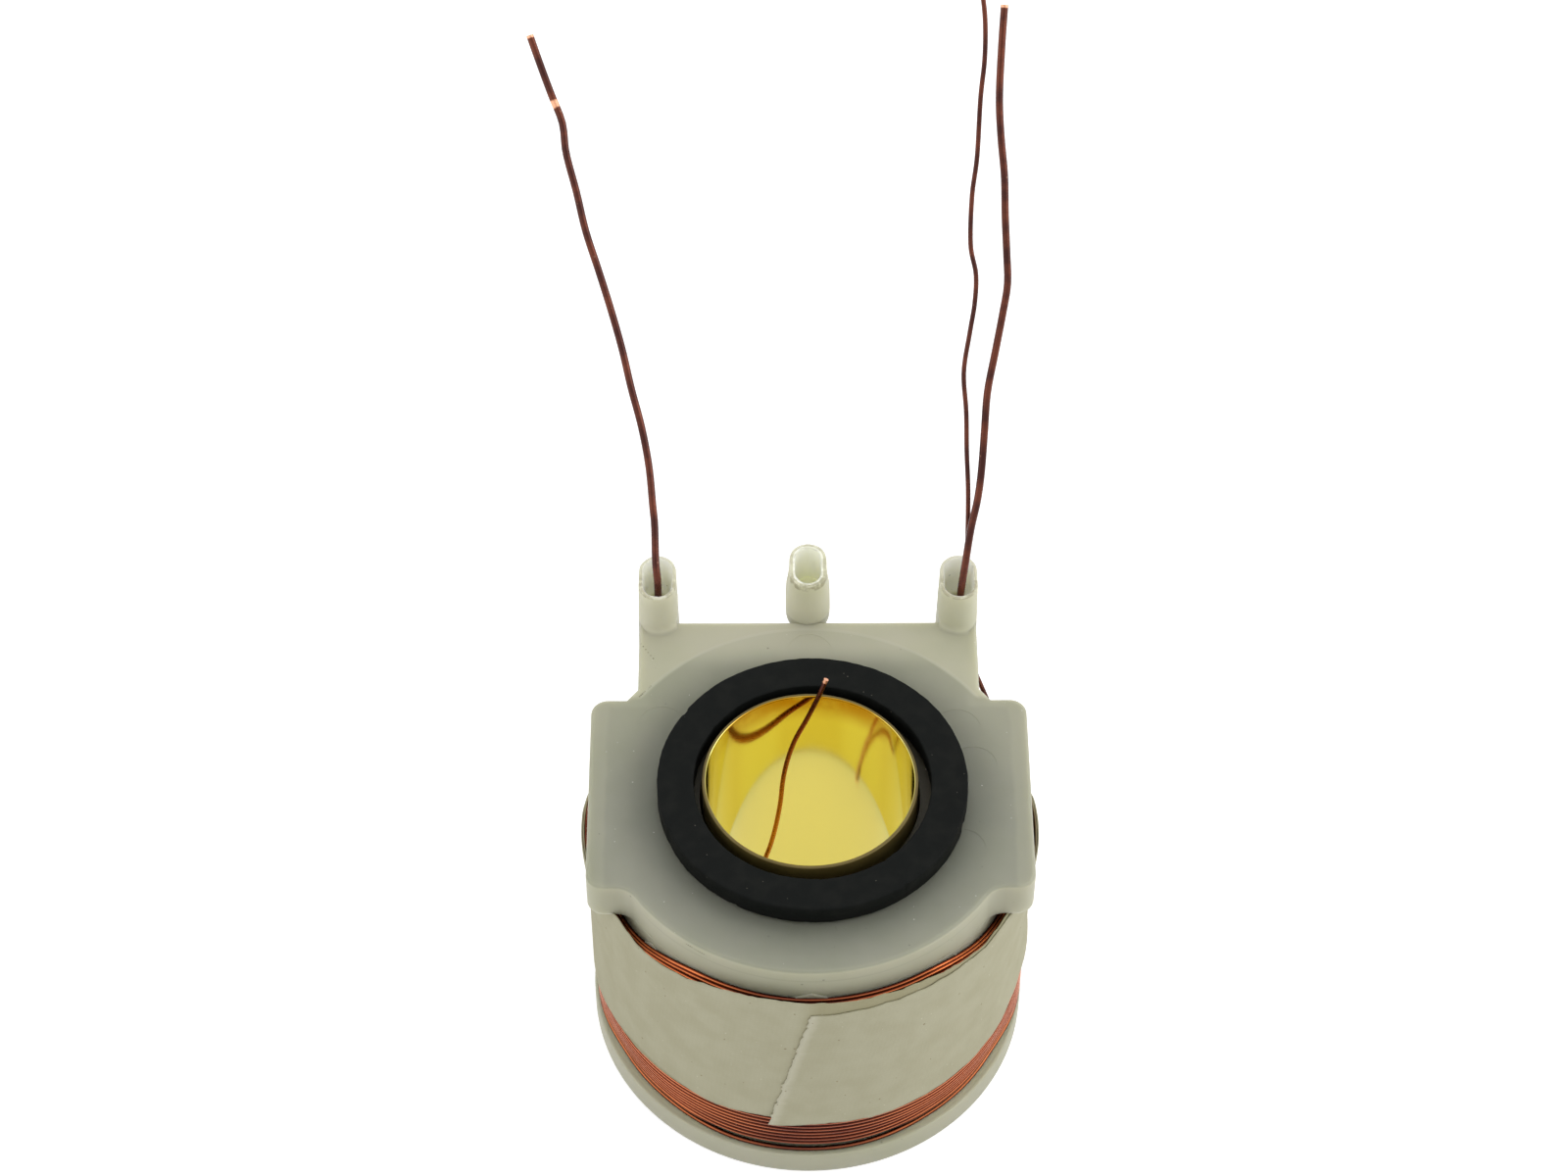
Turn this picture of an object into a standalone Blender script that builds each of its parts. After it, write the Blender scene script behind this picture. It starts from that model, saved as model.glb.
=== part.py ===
"""Solenoid coil with two windings on one moulded bobbin.

The coil stands on its round base flange. Z points up along the bore. The
origin is the middle of the coil's footprint on the surface it stands on, and
the bore's axis stands at a small distance in front of it, because the wire
posts reach further back than the flanges reach forwards.
"""

import math

import bmesh
import bpy
from mathutils import Vector

MM = 0.001

# Clearance between pieces that touch or fit into each other
FIT = 0.3 * MM

# Enamelled copper wires, over the enamel
THICK_WIRE = 0.84 * MM
THIN_WIRE = 0.54 * MM

# Brass sleeve that guides the plunger
SLEEVE_BORE = 22.0 * MM
SLEEVE_WALL = 0.4 * MM
SLEEVE_RISE = 2.8 * MM

# Moulded bobbin: hub, round base flange and the head on top
BOBBIN_HEIGHT = 37.2 * MM
HUB_WALL = 1.3 * MM
BASE_DIAMETER = 48.0 * MM
BASE_THICKNESS = 3.4 * MM
BASE_EDGE_CHAMFER = 0.3 * MM
HEAD_DIAMETER = 44.8 * MM
HEAD_THICKNESS = 5.0 * MM
HEAD_EDGE_ROUND = 0.3 * MM

# Square ears left and right of the head, measured from the bore's axis
EAR_SPAN = 47.0 * MM
EAR_FRONT = 11.8 * MM
EAR_BACK = 12.8 * MM
EAR_CORNER = 1.8 * MM
EAR_ROOT = 1.0 * MM

# Straight tail behind the head that carries the wire posts
TAIL_WIDTH = 37.0 * MM
TAIL_REACH = 23.5 * MM
TAIL_CORNER = 0.6 * MM
TAIL_CHAMFER_WIDTH = 1.2 * MM
TAIL_CHAMFER_DEPTH = 1.5 * MM

# Hollow wire posts with an obround section, sizes at their tips
POST_WIDTH = 4.1 * MM
POST_DEPTH = 6.2 * MM
POST_WALL = 0.65 * MM
POST_LAP = 1.3 * MM
POST_DRAFT = 0.1 * MM
POST_FOOT_STEP = 0.4 * MM
END_POST_HEIGHT = 5.5 * MM
MIDDLE_POST_HEIGHT = 6.05 * MM
MIDDLE_POST_LAP = 0.1 * MM
MIDDLE_POST_SWELL = 0.38 * MM
MIDDLE_POST_FOOT = 2.0 * MM
MIDDLE_POST_BORE_DEPTH = 4.8 * MM
WEB_WIDTH = 3.8 * MM
WEB_REACH = 3.4 * MM
WEB_ROOT = 1.0 * MM

# Windings, with the turns of the outer one that show below and above the tape
PULL_IN_LAYERS = 6
HOLD_IN_DIAMETER = 47.0 * MM
TURN_PITCH = 0.65 * MM
TURN_GROOVE = 0.15 * MM
LOWER_TURNS = 10
UPPER_TURNS = 2

# Cloth tape round the windings
TAPE_THICKNESS = 0.3 * MM
TAPE_FOOT = 9.9 * MM
TAPE_FRONT_LAP = 1.0 * MM
TAPE_BACK_DROP = 1.5 * MM
TAPE_BULGE = 0.55 * MM
TAPE_BULGE_HEIGHT = 8.0 * MM

# Loose rubber ring on the head
RING_BORE = 25.1 * MM
RING_DIAMETER = 32.8 * MM
RING_THICKNESS = 2.45 * MM
RING_EDGE = 0.15 * MM
RING_SHIFT_RIGHT = 0.25 * MM
RING_SHIFT_FORWARD = 0.1 * MM

# Room round the leads in the slots under the head, the hole that takes the
# hold-in winding's inner end through the base flange, and their directions in
# degrees, from the back of the coil and from its left side
SLOT_ROOM = 0.5 * MM
SLOT_ANGLE = 33.0
BASE_HOLE = 2.0 * MM
BASE_CHANNEL_ANGLE = 5.5

# Facets round a full turn
ROUND_STEPS = 96
WINDING_STEPS = 48
POST_STEPS = 10
HOLE_STEPS = 12
TAPE_LEVELS = 4

# Sizes that follow from the ones above
SLEEVE_RADIUS = SLEEVE_BORE / 2 + SLEEVE_WALL
HUB_BORE_RADIUS = SLEEVE_RADIUS + FIT
HUB_RADIUS = HUB_BORE_RADIUS + HUB_WALL
HEAD_UNDERSIDE = BOBBIN_HEIGHT - HEAD_THICKNESS
PULL_IN_INNER = HUB_RADIUS + FIT
PULL_IN_OUTER = PULL_IN_INNER + PULL_IN_LAYERS * THICK_WIRE
HOLD_IN_INNER = PULL_IN_OUTER + FIT
HOLD_IN_OUTER = HOLD_IN_DIAMETER / 2
WINDING_FOOT = BASE_THICKNESS + FIT
WINDING_TOP = HEAD_UNDERSIDE - FIT
TAPE_INNER = HOLD_IN_OUTER + FIT
TAPE_OUTER = TAPE_INNER + TAPE_THICKNESS
END_POST_X = TAIL_WIDTH / 2 - POST_WIDTH / 2
END_POST_Y = TAIL_REACH - POST_LAP + POST_DEPTH / 2
MIDDLE_POST_Y = TAIL_REACH - MIDDLE_POST_LAP + POST_DEPTH / 2
CHANNEL_HEIGHT = THIN_WIRE + 2 * FIT
COIL_BACK = MIDDLE_POST_Y + POST_DEPTH / 2 + MIDDLE_POST_SWELL
AXIS_Y = -(COIL_BACK - TAPE_OUTER) / 2

# Routes of the leads' centre lines, in millimetres from the foot of the bore's
# axis, each from the winding to its bare end
LEFT_THICK_ROUTE = [
    (-9.6, 14.8, 32.95), (-11.8, 18.1, 32.95), (-14.4, 21.9, 33.0), (-15.9, 23.8, 33.3),
    (-16.5, 24.5, 34.9), (-16.5, 24.5, 37.2), (-16.4, 24.2, 40.0), (-16.4, 24.6, 42.9),
    (-16.6, 26.1, 44.4),
    (-16.7, 29.3, 46.8), (-16.9, 30.9, 48.2), (-17.3, 34.2, 50.9), (-18.1, 37.5, 53.7),
    (-19.2, 40.7, 56.4), (-20.2, 44.0, 59.2), (-21.4, 47.3, 61.9), (-22.7, 50.5, 64.6),
    (-24.1, 53.8, 67.4), (-25.1, 57.1, 70.1), (-26.2, 60.3, 72.8), (-26.6, 62.8, 74.9),
    (-27.8, 65.2, 76.9), (-29.0, 67.7, 79.0), (-30.1, 70.1, 81.0),
]
RIGHT_THICK_ROUTE = [
    (9.6, 14.8, 32.95), (11.8, 18.1, 32.95), (14.4, 21.9, 33.0), (15.9, 23.8, 33.3),
    (16.5, 24.4, 34.9), (16.5, 24.3, 37.2), (16.6, 24.0, 40.0), (16.7, 24.1, 42.4),
    (17.1, 25.8, 44.4),
    (17.7, 28.4, 47.2), (18.4, 30.6, 49.5), (18.8, 32.7, 51.9), (19.1, 35.6, 55.0),
    (19.4, 38.5, 58.1), (20.2, 41.4, 61.2), (21.0, 44.3, 64.3), (21.5, 46.5, 66.6),
    (21.4, 48.6, 68.9), (21.2, 51.5, 72.0), (21.1, 54.4, 75.0), (20.7, 57.2, 78.1),
    (20.5, 60.0, 81.1), (20.7, 63.6, 84.9), (21.0, 66.8, 88.3),
]
RIGHT_THIN_ROUTE = [
    (23.0, 7.2, 31.3), (21.6, 11.4, 31.3), (20.3, 15.3, 31.3), (19.1, 19.2, 31.3),
    (18.0, 22.8, 31.3), (17.2, 25.2, 32.1), (16.9, 26.2, 34.4), (16.9, 26.3, 38.0),
    (17.0, 26.3, 41.6), (17.3, 27.0, 43.8), (17.4, 29.0, 46.3), (17.4, 31.7, 49.8),
    (17.2, 34.3, 53.3), (17.1, 36.9, 56.7), (16.8, 39.6, 60.1), (17.4, 42.2, 63.5),
    (17.9, 44.2, 66.0), (18.0, 46.1, 68.5), (17.4, 48.1, 71.0), (17.5, 51.3, 75.1),
    (18.0, 53.9, 78.4), (18.3, 57.7, 83.3), (18.7, 60.3, 86.6), (18.7, 62.8, 89.8),
    (18.3, 65.0, 92.6),
]
BORE_THIN_ROUTE = [
    (-19.6, -1.9, 3.35), (-19.55, -1.89, 1.9), (-19.2, -1.85, 0.85), (-18.2, -1.75, 0.5),
    (-16.0, -1.54, 0.55), (-12.5, -1.2, 0.57), (-10.6, -1.02, 0.75), (-9.6, -0.9, 2.0),
    (-8.6, 0.1, 5.3),
    (-6.8, 2.2, 11.6), (-4.9, 4.3, 18.6), (-4.2, 5.0, 20.8), (-3.6, 5.7, 23.5),
    (-3.1, 6.6, 26.6), (-2.8, 7.5, 29.7), (-2.3, 8.3, 32.3), (-1.5, 9.0, 34.9),
    (-0.3, 9.7, 37.5), (0.9, 10.4, 40.4), (1.8, 11.2, 42.7),
]
LEAD_SPACING = 2.4


def clear_objects():
    """Empty the scene of the objects it opened with."""
    for old in list(bpy.data.objects):
        bpy.data.objects.remove(old, do_unlink=True)


def make_material(name, colour, roughness, metallic=0.0):
    """A plain surface with one colour, for one sub-part."""
    material = bpy.data.materials.new(name)
    material.use_nodes = True
    shader = material.node_tree.nodes["Principled BSDF"]
    shader.inputs["Base Color"].default_value = (*colour, 1.0)
    shader.inputs["Roughness"].default_value = roughness
    shader.inputs["Metallic"].default_value = metallic
    return material


def add_object(name, data, axis, material=None):
    """Link a mesh or curve to the scene, carried by the bore's axis."""
    item = bpy.data.objects.new(name, data)
    bpy.context.scene.collection.objects.link(item)
    item.parent = axis
    if material:
        data.materials.append(material)
    return item


def finish_mesh(name, bm, axis, material=None):
    """Turn a bmesh into an object with its faces pointing out."""
    bmesh.ops.recalc_face_normals(bm, faces=bm.faces)
    mesh = bpy.data.meshes.new(name)
    bm.to_mesh(mesh)
    bm.free()
    mesh.shade_smooth()
    mesh.set_sharp_from_angle(angle=math.radians(35))
    return add_object(name, mesh, axis, material)


def turned(name, profile, axis, material, steps=ROUND_STEPS):
    """Spin a closed profile of (radius, height) points round the bore's axis."""
    bm = bmesh.new()
    points = [bm.verts.new((radius, 0, height)) for radius, height in profile]
    sides = [bm.edges.new(pair) for pair in zip(points, points[1:] + points[:1])]
    bmesh.ops.spin(
        bm,
        geom=points + sides,
        cent=(0, 0, 0),
        axis=(0, 0, 1),
        angle=math.tau,
        steps=steps,
        use_merge=True,
    )
    bmesh.ops.remove_doubles(bm, verts=bm.verts, dist=0.001 * MM)
    return finish_mesh(name, bm, axis, material)


def lofted(name, sections, axis, material=None):
    """Skin a stack of loops that have the same number of points."""
    bm = bmesh.new()
    loops = [[bm.verts.new(point) for point in section] for section in sections]
    bm.faces.new(loops[0])
    bm.faces.new(loops[-1])
    for lower, upper in zip(loops, loops[1:]):
        count = len(lower)
        for i in range(count):
            j = (i + 1) % count
            bm.faces.new((lower[i], lower[j], upper[j], upper[i]))
    return finish_mesh(name, bm, axis, material)


def circle(radius, height, centre=(0, 0), steps=ROUND_STEPS):
    """A level loop of points round a centre."""
    angles = [math.tau * i / steps for i in range(steps)]
    return [
        (centre[0] + radius * math.cos(angle), centre[1] + radius * math.sin(angle), height)
        for angle in angles
    ]


def arc(centre, radius, start, end, pieces):
    """Points on an arc between two angles in degrees."""
    angles = [math.radians(start + (end - start) * i / pieces) for i in range(pieces + 1)]
    return [
        (centre[0] + radius * math.cos(angle), centre[1] + radius * math.sin(angle))
        for angle in angles
    ]


def head_outline():
    """The head seen from above: round front, two ears and a straight tail."""
    radius = HEAD_DIAMETER / 2
    half_span = EAR_SPAN / 2
    half_tail = TAIL_WIDTH / 2
    root_y = EAR_FRONT + EAR_ROOT
    root_x = math.sqrt((radius + EAR_ROOT) ** 2 - root_y ** 2)
    root_angle = math.degrees(math.atan2(root_y, root_x))
    front = arc((0, 0), radius, root_angle - 180, -root_angle, 40)
    right = arc((root_x, -root_y), EAR_ROOT, 180 - root_angle, 90, 3)[1:]
    right += arc((half_span - EAR_CORNER, EAR_CORNER - EAR_FRONT), EAR_CORNER, -90, 0, 6)
    right += arc((half_span - EAR_CORNER, EAR_BACK - EAR_CORNER), EAR_CORNER, 0, 90, 6)
    right.append((half_tail + TAIL_CHAMFER_WIDTH, EAR_BACK))
    right.append((half_tail, EAR_BACK + TAIL_CHAMFER_DEPTH))
    right += arc((half_tail - TAIL_CORNER, TAIL_REACH - TAIL_CORNER), TAIL_CORNER, 0, 90, 3)
    left = [(-x, y) for x, y in reversed(right)]
    return front + right + left


def head_plate(name, axis, material):
    """The head as a thick plate whose upper edge is slightly rounded."""
    bm = bmesh.new()
    lower = [bm.verts.new((x, y, HEAD_UNDERSIDE)) for x, y in head_outline()]
    bottom = bm.faces.new(lower)
    raised = bmesh.ops.extrude_face_region(bm, geom=[bottom], use_keep_orig=True)["geom"]
    upper = [item for item in raised if isinstance(item, bmesh.types.BMVert)]
    bmesh.ops.translate(bm, verts=upper, vec=(0, 0, HEAD_THICKNESS))
    rim = [edge for edge in bm.edges if all(vert in upper for vert in edge.verts)]
    bmesh.ops.bevel(
        bm,
        geom=rim,
        offset=HEAD_EDGE_ROUND,
        offset_type='OFFSET',
        segments=2,
        profile=0.5,
        affect='EDGES',
        material=-1,
    )
    return finish_mesh(name, bm, axis, material)


def obround(centre_x, centre_y, width, depth, height):
    """A slot-shaped loop: two half circles joined by straight sides."""
    reach = (depth - width) / 2
    front = arc((centre_x, centre_y - reach), width / 2, 180, 360, POST_STEPS)
    back = arc((centre_x, centre_y + reach), width / 2, 0, 180, POST_STEPS)
    return [(x, y, height) for x, y in front + back]


def post_sections(centre_x, centre_y, stations):
    """Post sections from (height, growth of the outline) pairs."""
    return [
        obround(centre_x, centre_y, POST_WIDTH + 2 * growth, POST_DEPTH + 2 * growth, height)
        for height, growth in stations
    ]


def box_along(name, start, end, width, low, high, axis):
    """An upright box along a line seen from above."""
    along = (Vector(end) - Vector(start)).normalized()
    side = Vector((-along.y, along.x)) * width / 2
    corners = [
        Vector(start) - side,
        Vector(end) - side,
        Vector(end) + side,
        Vector(start) + side,
    ]
    sections = [[(corner.x, corner.y, height) for corner in corners] for height in (low, high)]
    return lofted(name, sections, axis)


def combine(target, tool, operation):
    """Join a hidden helper shape to a piece, or cut it out of the piece."""
    tool.hide_render = True
    tool.display_type = 'WIRE'
    step = target.modifiers.new(tool.name, 'BOOLEAN')
    step.operation = operation
    step.solver = 'EXACT'
    step.object = tool


def make_bobbin(axis):
    """One nylon moulding: hub, base flange, head, and three wire posts."""
    nylon = make_material("natural_nylon", (0.62, 0.62, 0.52), 0.45)
    bobbin = head_plate("bobbin", axis, nylon)
    base_radius = BASE_DIAMETER / 2

    hub_top = HEAD_UNDERSIDE + HEAD_THICKNESS / 2
    hub_sections = [
        circle(base_radius - BASE_EDGE_CHAMFER, 0),
        circle(base_radius, BASE_EDGE_CHAMFER),
        circle(base_radius, BASE_THICKNESS - BASE_EDGE_CHAMFER),
        circle(base_radius - BASE_EDGE_CHAMFER, BASE_THICKNESS),
        circle(HUB_RADIUS, BASE_THICKNESS),
        circle(HUB_RADIUS, hub_top),
    ]
    combine(bobbin, lofted("hub_shape", hub_sections, axis), 'UNION')

    end_tip = BOBBIN_HEIGHT + END_POST_HEIGHT
    post_foot = HEAD_UNDERSIDE + POST_FOOT_STEP
    end_stations = [(post_foot, 2 * POST_DRAFT), (BOBBIN_HEIGHT, POST_DRAFT), (end_tip, 0)]
    for side, sign in (("left", -1), ("right", 1)):
        sections = post_sections(sign * END_POST_X, END_POST_Y, end_stations)
        combine(bobbin, lofted(side + "_post_shape", sections, axis), 'UNION')

    middle_tip = BOBBIN_HEIGHT + MIDDLE_POST_HEIGHT
    middle_foot = BOBBIN_HEIGHT - MIDDLE_POST_FOOT
    middle_stations = [
        (middle_foot, -MIDDLE_POST_SWELL / 2),
        (middle_foot + 0.2 * MIDDLE_POST_FOOT, MIDDLE_POST_SWELL / 3),
        (middle_foot + 0.6 * MIDDLE_POST_FOOT, 0.8 * MIDDLE_POST_SWELL),
        (BOBBIN_HEIGHT, MIDDLE_POST_SWELL),
        (BOBBIN_HEIGHT + 0.3 * MIDDLE_POST_HEIGHT, 0.85 * MIDDLE_POST_SWELL),
        (BOBBIN_HEIGHT + 0.5 * MIDDLE_POST_HEIGHT, 0.4 * MIDDLE_POST_SWELL),
        (BOBBIN_HEIGHT + 0.75 * MIDDLE_POST_HEIGHT, 0.05 * MIDDLE_POST_SWELL),
        (middle_tip, 0),
    ]
    sections = post_sections(0, MIDDLE_POST_Y, middle_stations)
    combine(bobbin, lofted("middle_post_shape", sections, axis), 'UNION')

    web = box_along(
        "web_shape",
        (0, TAIL_REACH - WEB_ROOT),
        (0, TAIL_REACH + WEB_REACH),
        WEB_WIDTH,
        HEAD_UNDERSIDE + 2 * POST_FOOT_STEP,
        middle_foot + MIDDLE_POST_FOOT / 2,
        axis,
    )
    combine(bobbin, web, 'UNION')

    beyond = 2 * MM
    bore_sections = [circle(HUB_BORE_RADIUS, height) for height in (-beyond, end_tip)]
    combine(bobbin, lofted("bore_shape", bore_sections, axis), 'DIFFERENCE')

    wall = [(HEAD_UNDERSIDE - beyond, -POST_WALL), (end_tip + beyond, -POST_WALL)]
    for side, sign in (("left", -1), ("right", 1)):
        sections = post_sections(sign * END_POST_X, END_POST_Y, wall)
        combine(bobbin, lofted(side + "_post_bore", sections, axis), 'DIFFERENCE')
    blind = [(middle_tip - MIDDLE_POST_BORE_DEPTH, -POST_WALL), (middle_tip + beyond, -POST_WALL)]
    sections = post_sections(0, MIDDLE_POST_Y, blind)
    combine(bobbin, lofted("middle_post_bore", sections, axis), 'DIFFERENCE')

    slot_width = THICK_WIRE + 2 * SLOT_ROOM
    slot_start = PULL_IN_OUTER - slot_width
    slot_x = slot_start * math.sin(math.radians(SLOT_ANGLE))
    slot_y = slot_start * math.cos(math.radians(SLOT_ANGLE))
    for side, sign in (("left", -1), ("right", 1)):
        slot = box_along(
            side + "_lead_slot",
            (sign * slot_x, slot_y),
            (sign * END_POST_X, END_POST_Y - POST_WALL),
            slot_width,
            HEAD_UNDERSIDE - beyond,
            HEAD_UNDERSIDE + slot_width,
            axis,
        )
        combine(bobbin, slot, 'DIFFERENCE')

    turn = math.radians(BASE_CHANNEL_ANGLE)
    outward = Vector((-math.cos(turn), -math.sin(turn)))
    hole_centre = outward * (HOLD_IN_INNER + BASE_HOLE / 2)
    channel = box_along(
        "base_channel",
        outward * (HUB_BORE_RADIUS - FIT - SLEEVE_WALL),
        hole_centre,
        CHANNEL_HEIGHT,
        -beyond,
        CHANNEL_HEIGHT,
        axis,
    )
    combine(bobbin, channel, 'DIFFERENCE')
    hole_sections = [
        circle(BASE_HOLE / 2, height, hole_centre, HOLE_STEPS)
        for height in (-beyond, BASE_THICKNESS + beyond)
    ]
    combine(bobbin, lofted("base_lead_hole", hole_sections, axis), 'DIFFERENCE')


def make_sleeve(axis):
    """Thin drawn tube in the bobbin's bore, its rim proud of the head."""
    brass = make_material("brass", (0.78, 0.57, 0.15), 0.15, 1.0)
    foot = CHANNEL_HEIGHT
    rim = BOBBIN_HEIGHT + SLEEVE_RISE
    bore = SLEEVE_BORE / 2
    profile = [(SLEEVE_RADIUS, rim), (SLEEVE_RADIUS, foot), (bore, foot), (bore, rim)]
    turned("brass_sleeve", profile, axis, brass)


def make_ring(axis):
    """Flat rubber ring that lies loose round the sleeve."""
    rubber = make_material("black_rubber", (0.012, 0.013, 0.012), 0.75)
    inner = RING_BORE / 2
    outer = RING_DIAMETER / 2
    foot = BOBBIN_HEIGHT + FIT
    top = foot + RING_THICKNESS
    profile = [
        (outer - RING_EDGE, top),
        (outer, top - RING_EDGE),
        (outer, foot + RING_EDGE),
        (outer - RING_EDGE, foot),
        (inner, foot),
        (inner, top),
    ]
    ring = turned("rubber_ring", profile, axis, rubber)
    ring.location = (RING_SHIFT_RIGHT, -RING_SHIFT_FORWARD, 0)


def turn_points(first, count):
    """Outer surface of turns that lie side by side, from the bottom up."""
    points = []
    for i in range(count):
        low = first + i * TURN_PITCH
        points.append((HOLD_IN_OUTER - TURN_GROOVE, low))
        points.append((HOLD_IN_OUTER, low + 0.3 * TURN_PITCH))
        points.append((HOLD_IN_OUTER, low + 0.7 * TURN_PITCH))
    points.append((HOLD_IN_OUTER - TURN_GROOVE, first + count * TURN_PITCH))
    return points


def make_windings(axis):
    """Pull-in winding of thick wire on the hub, hold-in winding round it."""
    copper = make_material("thick_copper", (0.42, 0.1, 0.03), 0.3, 0.7)
    pull_in_profile = [
        (PULL_IN_OUTER, WINDING_TOP),
        (PULL_IN_OUTER, WINDING_FOOT),
        (PULL_IN_INNER, WINDING_FOOT),
        (PULL_IN_INNER, WINDING_TOP),
    ]
    turned("pull_in_winding", pull_in_profile, axis, copper, WINDING_STEPS)

    thin_copper = make_material("thin_copper", (0.4, 0.09, 0.03), 0.3, 0.7)
    lower = turn_points(WINDING_FOOT, LOWER_TURNS)
    upper = turn_points(WINDING_TOP - UPPER_TURNS * TURN_PITCH, UPPER_TURNS)
    inside = [(HOLD_IN_INNER, WINDING_TOP), (HOLD_IN_INNER, WINDING_FOOT)]
    turned("hold_in_winding", lower + upper + inside, axis, thin_copper, WINDING_STEPS)


def ease(value, low, high):
    """Smooth step from 0 at low to 1 at high."""
    share = min(max((value - low) / (high - low), 0.0), 1.0)
    return share * share * (3 - 2 * share)


def tape_top(angle):
    """Height of the tape's upper edge, by the angle from the front."""
    at_sides = HEAD_UNDERSIDE - FIT
    past_front = ease(angle, 50, 57)
    past_side = ease(angle, 88, 98)
    front_extra = (TAPE_FRONT_LAP + FIT) * (1 - past_front)
    return at_sides + front_extra - TAPE_BACK_DROP * past_side


def make_tape(axis):
    """Tape wound round the coil, pushed outwards under the ears."""
    cloth = make_material("cloth_tape", (0.66, 0.63, 0.5), 0.85)
    rings = []
    bm = bmesh.new()
    for i in range(ROUND_STEPS):
        turn = 360 * i / ROUND_STEPS
        angle = min(turn, 360 - turn)
        top = tape_top(angle)
        beside = 1 - ease(abs(angle - 90), 4, 30)
        step = (top - TAPE_FOOT) / TAPE_LEVELS
        heights = [TAPE_FOOT + step * k for k in range(TAPE_LEVELS + 1)]
        across = math.sin(math.radians(turn))
        along = -math.cos(math.radians(turn))
        ring = []
        for radius, order in ((TAPE_OUTER, heights), (TAPE_INNER, heights[::-1])):
            for height in order:
                lift = ease(height, top - TAPE_BULGE_HEIGHT, top)
                reach = radius + TAPE_BULGE * beside * lift
                ring.append(bm.verts.new((reach * across, reach * along, height)))
        rings.append(ring)
    count = len(rings[0])
    for i in range(ROUND_STEPS):
        here = rings[i]
        beyond = rings[(i + 1) % ROUND_STEPS]
        for k in range(count):
            m = (k + 1) % count
            bm.faces.new((here[k], beyond[k], beyond[m], here[m]))
    finish_mesh("tape_wrap", bm, axis, cloth)


def smooth_route(route, spacing):
    """Evenly spaced points on a smooth curve through the route's points."""
    anchors = [Vector(point) * MM for point in route]
    anchors = [2 * anchors[0] - anchors[1]] + anchors + [2 * anchors[-1] - anchors[-2]]
    fine = []
    parts = 24
    for a, b, c, d in zip(anchors, anchors[1:], anchors[2:], anchors[3:]):
        for i in range(parts):
            t = i / parts
            bend = (2 * a - 5 * b + 4 * c - d) * t + (3 * b - a - 3 * c + d) * t * t
            fine.append(b + 0.5 * t * ((c - a) + bend))
    fine.append(anchors[-2])
    travelled = [0.0]
    for a, b in zip(fine, fine[1:]):
        travelled.append(travelled[-1] + (b - a).length)
    count = max(2, round(travelled[-1] / spacing))
    points = []
    k = 0
    for i in range(count + 1):
        goal = travelled[-1] * i / count
        while k < len(fine) - 2 and travelled[k + 1] < goal:
            k += 1
        share = (goal - travelled[k]) / (travelled[k + 1] - travelled[k])
        points.append(fine[k].lerp(fine[k + 1], min(max(share, 0.0), 1.0)))
    return points


def make_lead(name, route, diameter, axis, material):
    """A bare-ended lead as a tube along its route."""
    points = smooth_route(route, LEAD_SPACING * diameter)
    data = bpy.data.curves.new(name, 'CURVE')
    data.dimensions = '3D'
    data.bevel_depth = diameter / 2
    data.bevel_resolution = 2
    data.use_fill_caps = True
    spline = data.splines.new('POLY')
    spline.points.add(len(points) - 1)
    for knot, point in zip(spline.points, points):
        knot.co = (*point, 1.0)
    add_object(name, data, axis, material)


def make_leads(axis):
    """Both ends of each winding, as bare-ended enamelled wires."""
    leads = (
        ("left_thick_lead", LEFT_THICK_ROUTE, THICK_WIRE),
        ("right_thick_lead", RIGHT_THICK_ROUTE, THICK_WIRE),
        ("right_thin_lead", RIGHT_THIN_ROUTE, THIN_WIRE),
        ("bore_thin_lead", BORE_THIN_ROUTE, THIN_WIRE),
    )
    for name, route, diameter in leads:
        enamel = make_material(name + "_enamel", (0.36, 0.06, 0.02), 0.3, 0.6)
        make_lead(name, route, diameter, axis, enamel)


def build():
    """Make every piece, carried by an empty on the bore's axis."""
    clear_objects()
    axis = bpy.data.objects.new("bore_axis", None)
    bpy.context.scene.collection.objects.link(axis)
    axis.location = (0, AXIS_Y, 0)
    make_bobbin(axis)
    make_sleeve(axis)
    make_ring(axis)
    make_windings(axis)
    make_tape(axis)
    make_leads(axis)


build()
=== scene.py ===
import math

import bmesh
import bpy
from mathutils import Matrix, Vector, noise


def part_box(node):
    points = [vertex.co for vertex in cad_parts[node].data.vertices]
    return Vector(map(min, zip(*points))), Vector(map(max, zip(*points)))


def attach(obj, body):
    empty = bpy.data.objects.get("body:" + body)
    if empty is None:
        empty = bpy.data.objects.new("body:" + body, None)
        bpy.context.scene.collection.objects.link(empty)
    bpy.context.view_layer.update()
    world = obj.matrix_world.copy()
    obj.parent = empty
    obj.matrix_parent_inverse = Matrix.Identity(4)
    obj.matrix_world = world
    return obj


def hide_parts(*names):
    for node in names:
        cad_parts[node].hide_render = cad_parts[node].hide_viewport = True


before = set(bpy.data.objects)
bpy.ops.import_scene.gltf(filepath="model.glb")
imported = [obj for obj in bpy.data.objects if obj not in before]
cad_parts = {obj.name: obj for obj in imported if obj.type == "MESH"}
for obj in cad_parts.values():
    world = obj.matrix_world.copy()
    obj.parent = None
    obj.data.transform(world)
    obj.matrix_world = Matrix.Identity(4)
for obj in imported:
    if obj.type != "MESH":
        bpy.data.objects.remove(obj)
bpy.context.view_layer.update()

# Camera. It stands in front of the coil and looks down at its head, as in the
# photograph. Places on the coil are measured from the foot of the bore's axis.
MM = 0.001
CAMERA_PLACE = (-4.75, -233.49, 359.07)
CAMERA_HEADING = -0.47
CAMERA_TILT = 50.88
CAMERA_ROLL = 0.22
CAMERA_LENS = 86.05

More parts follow.
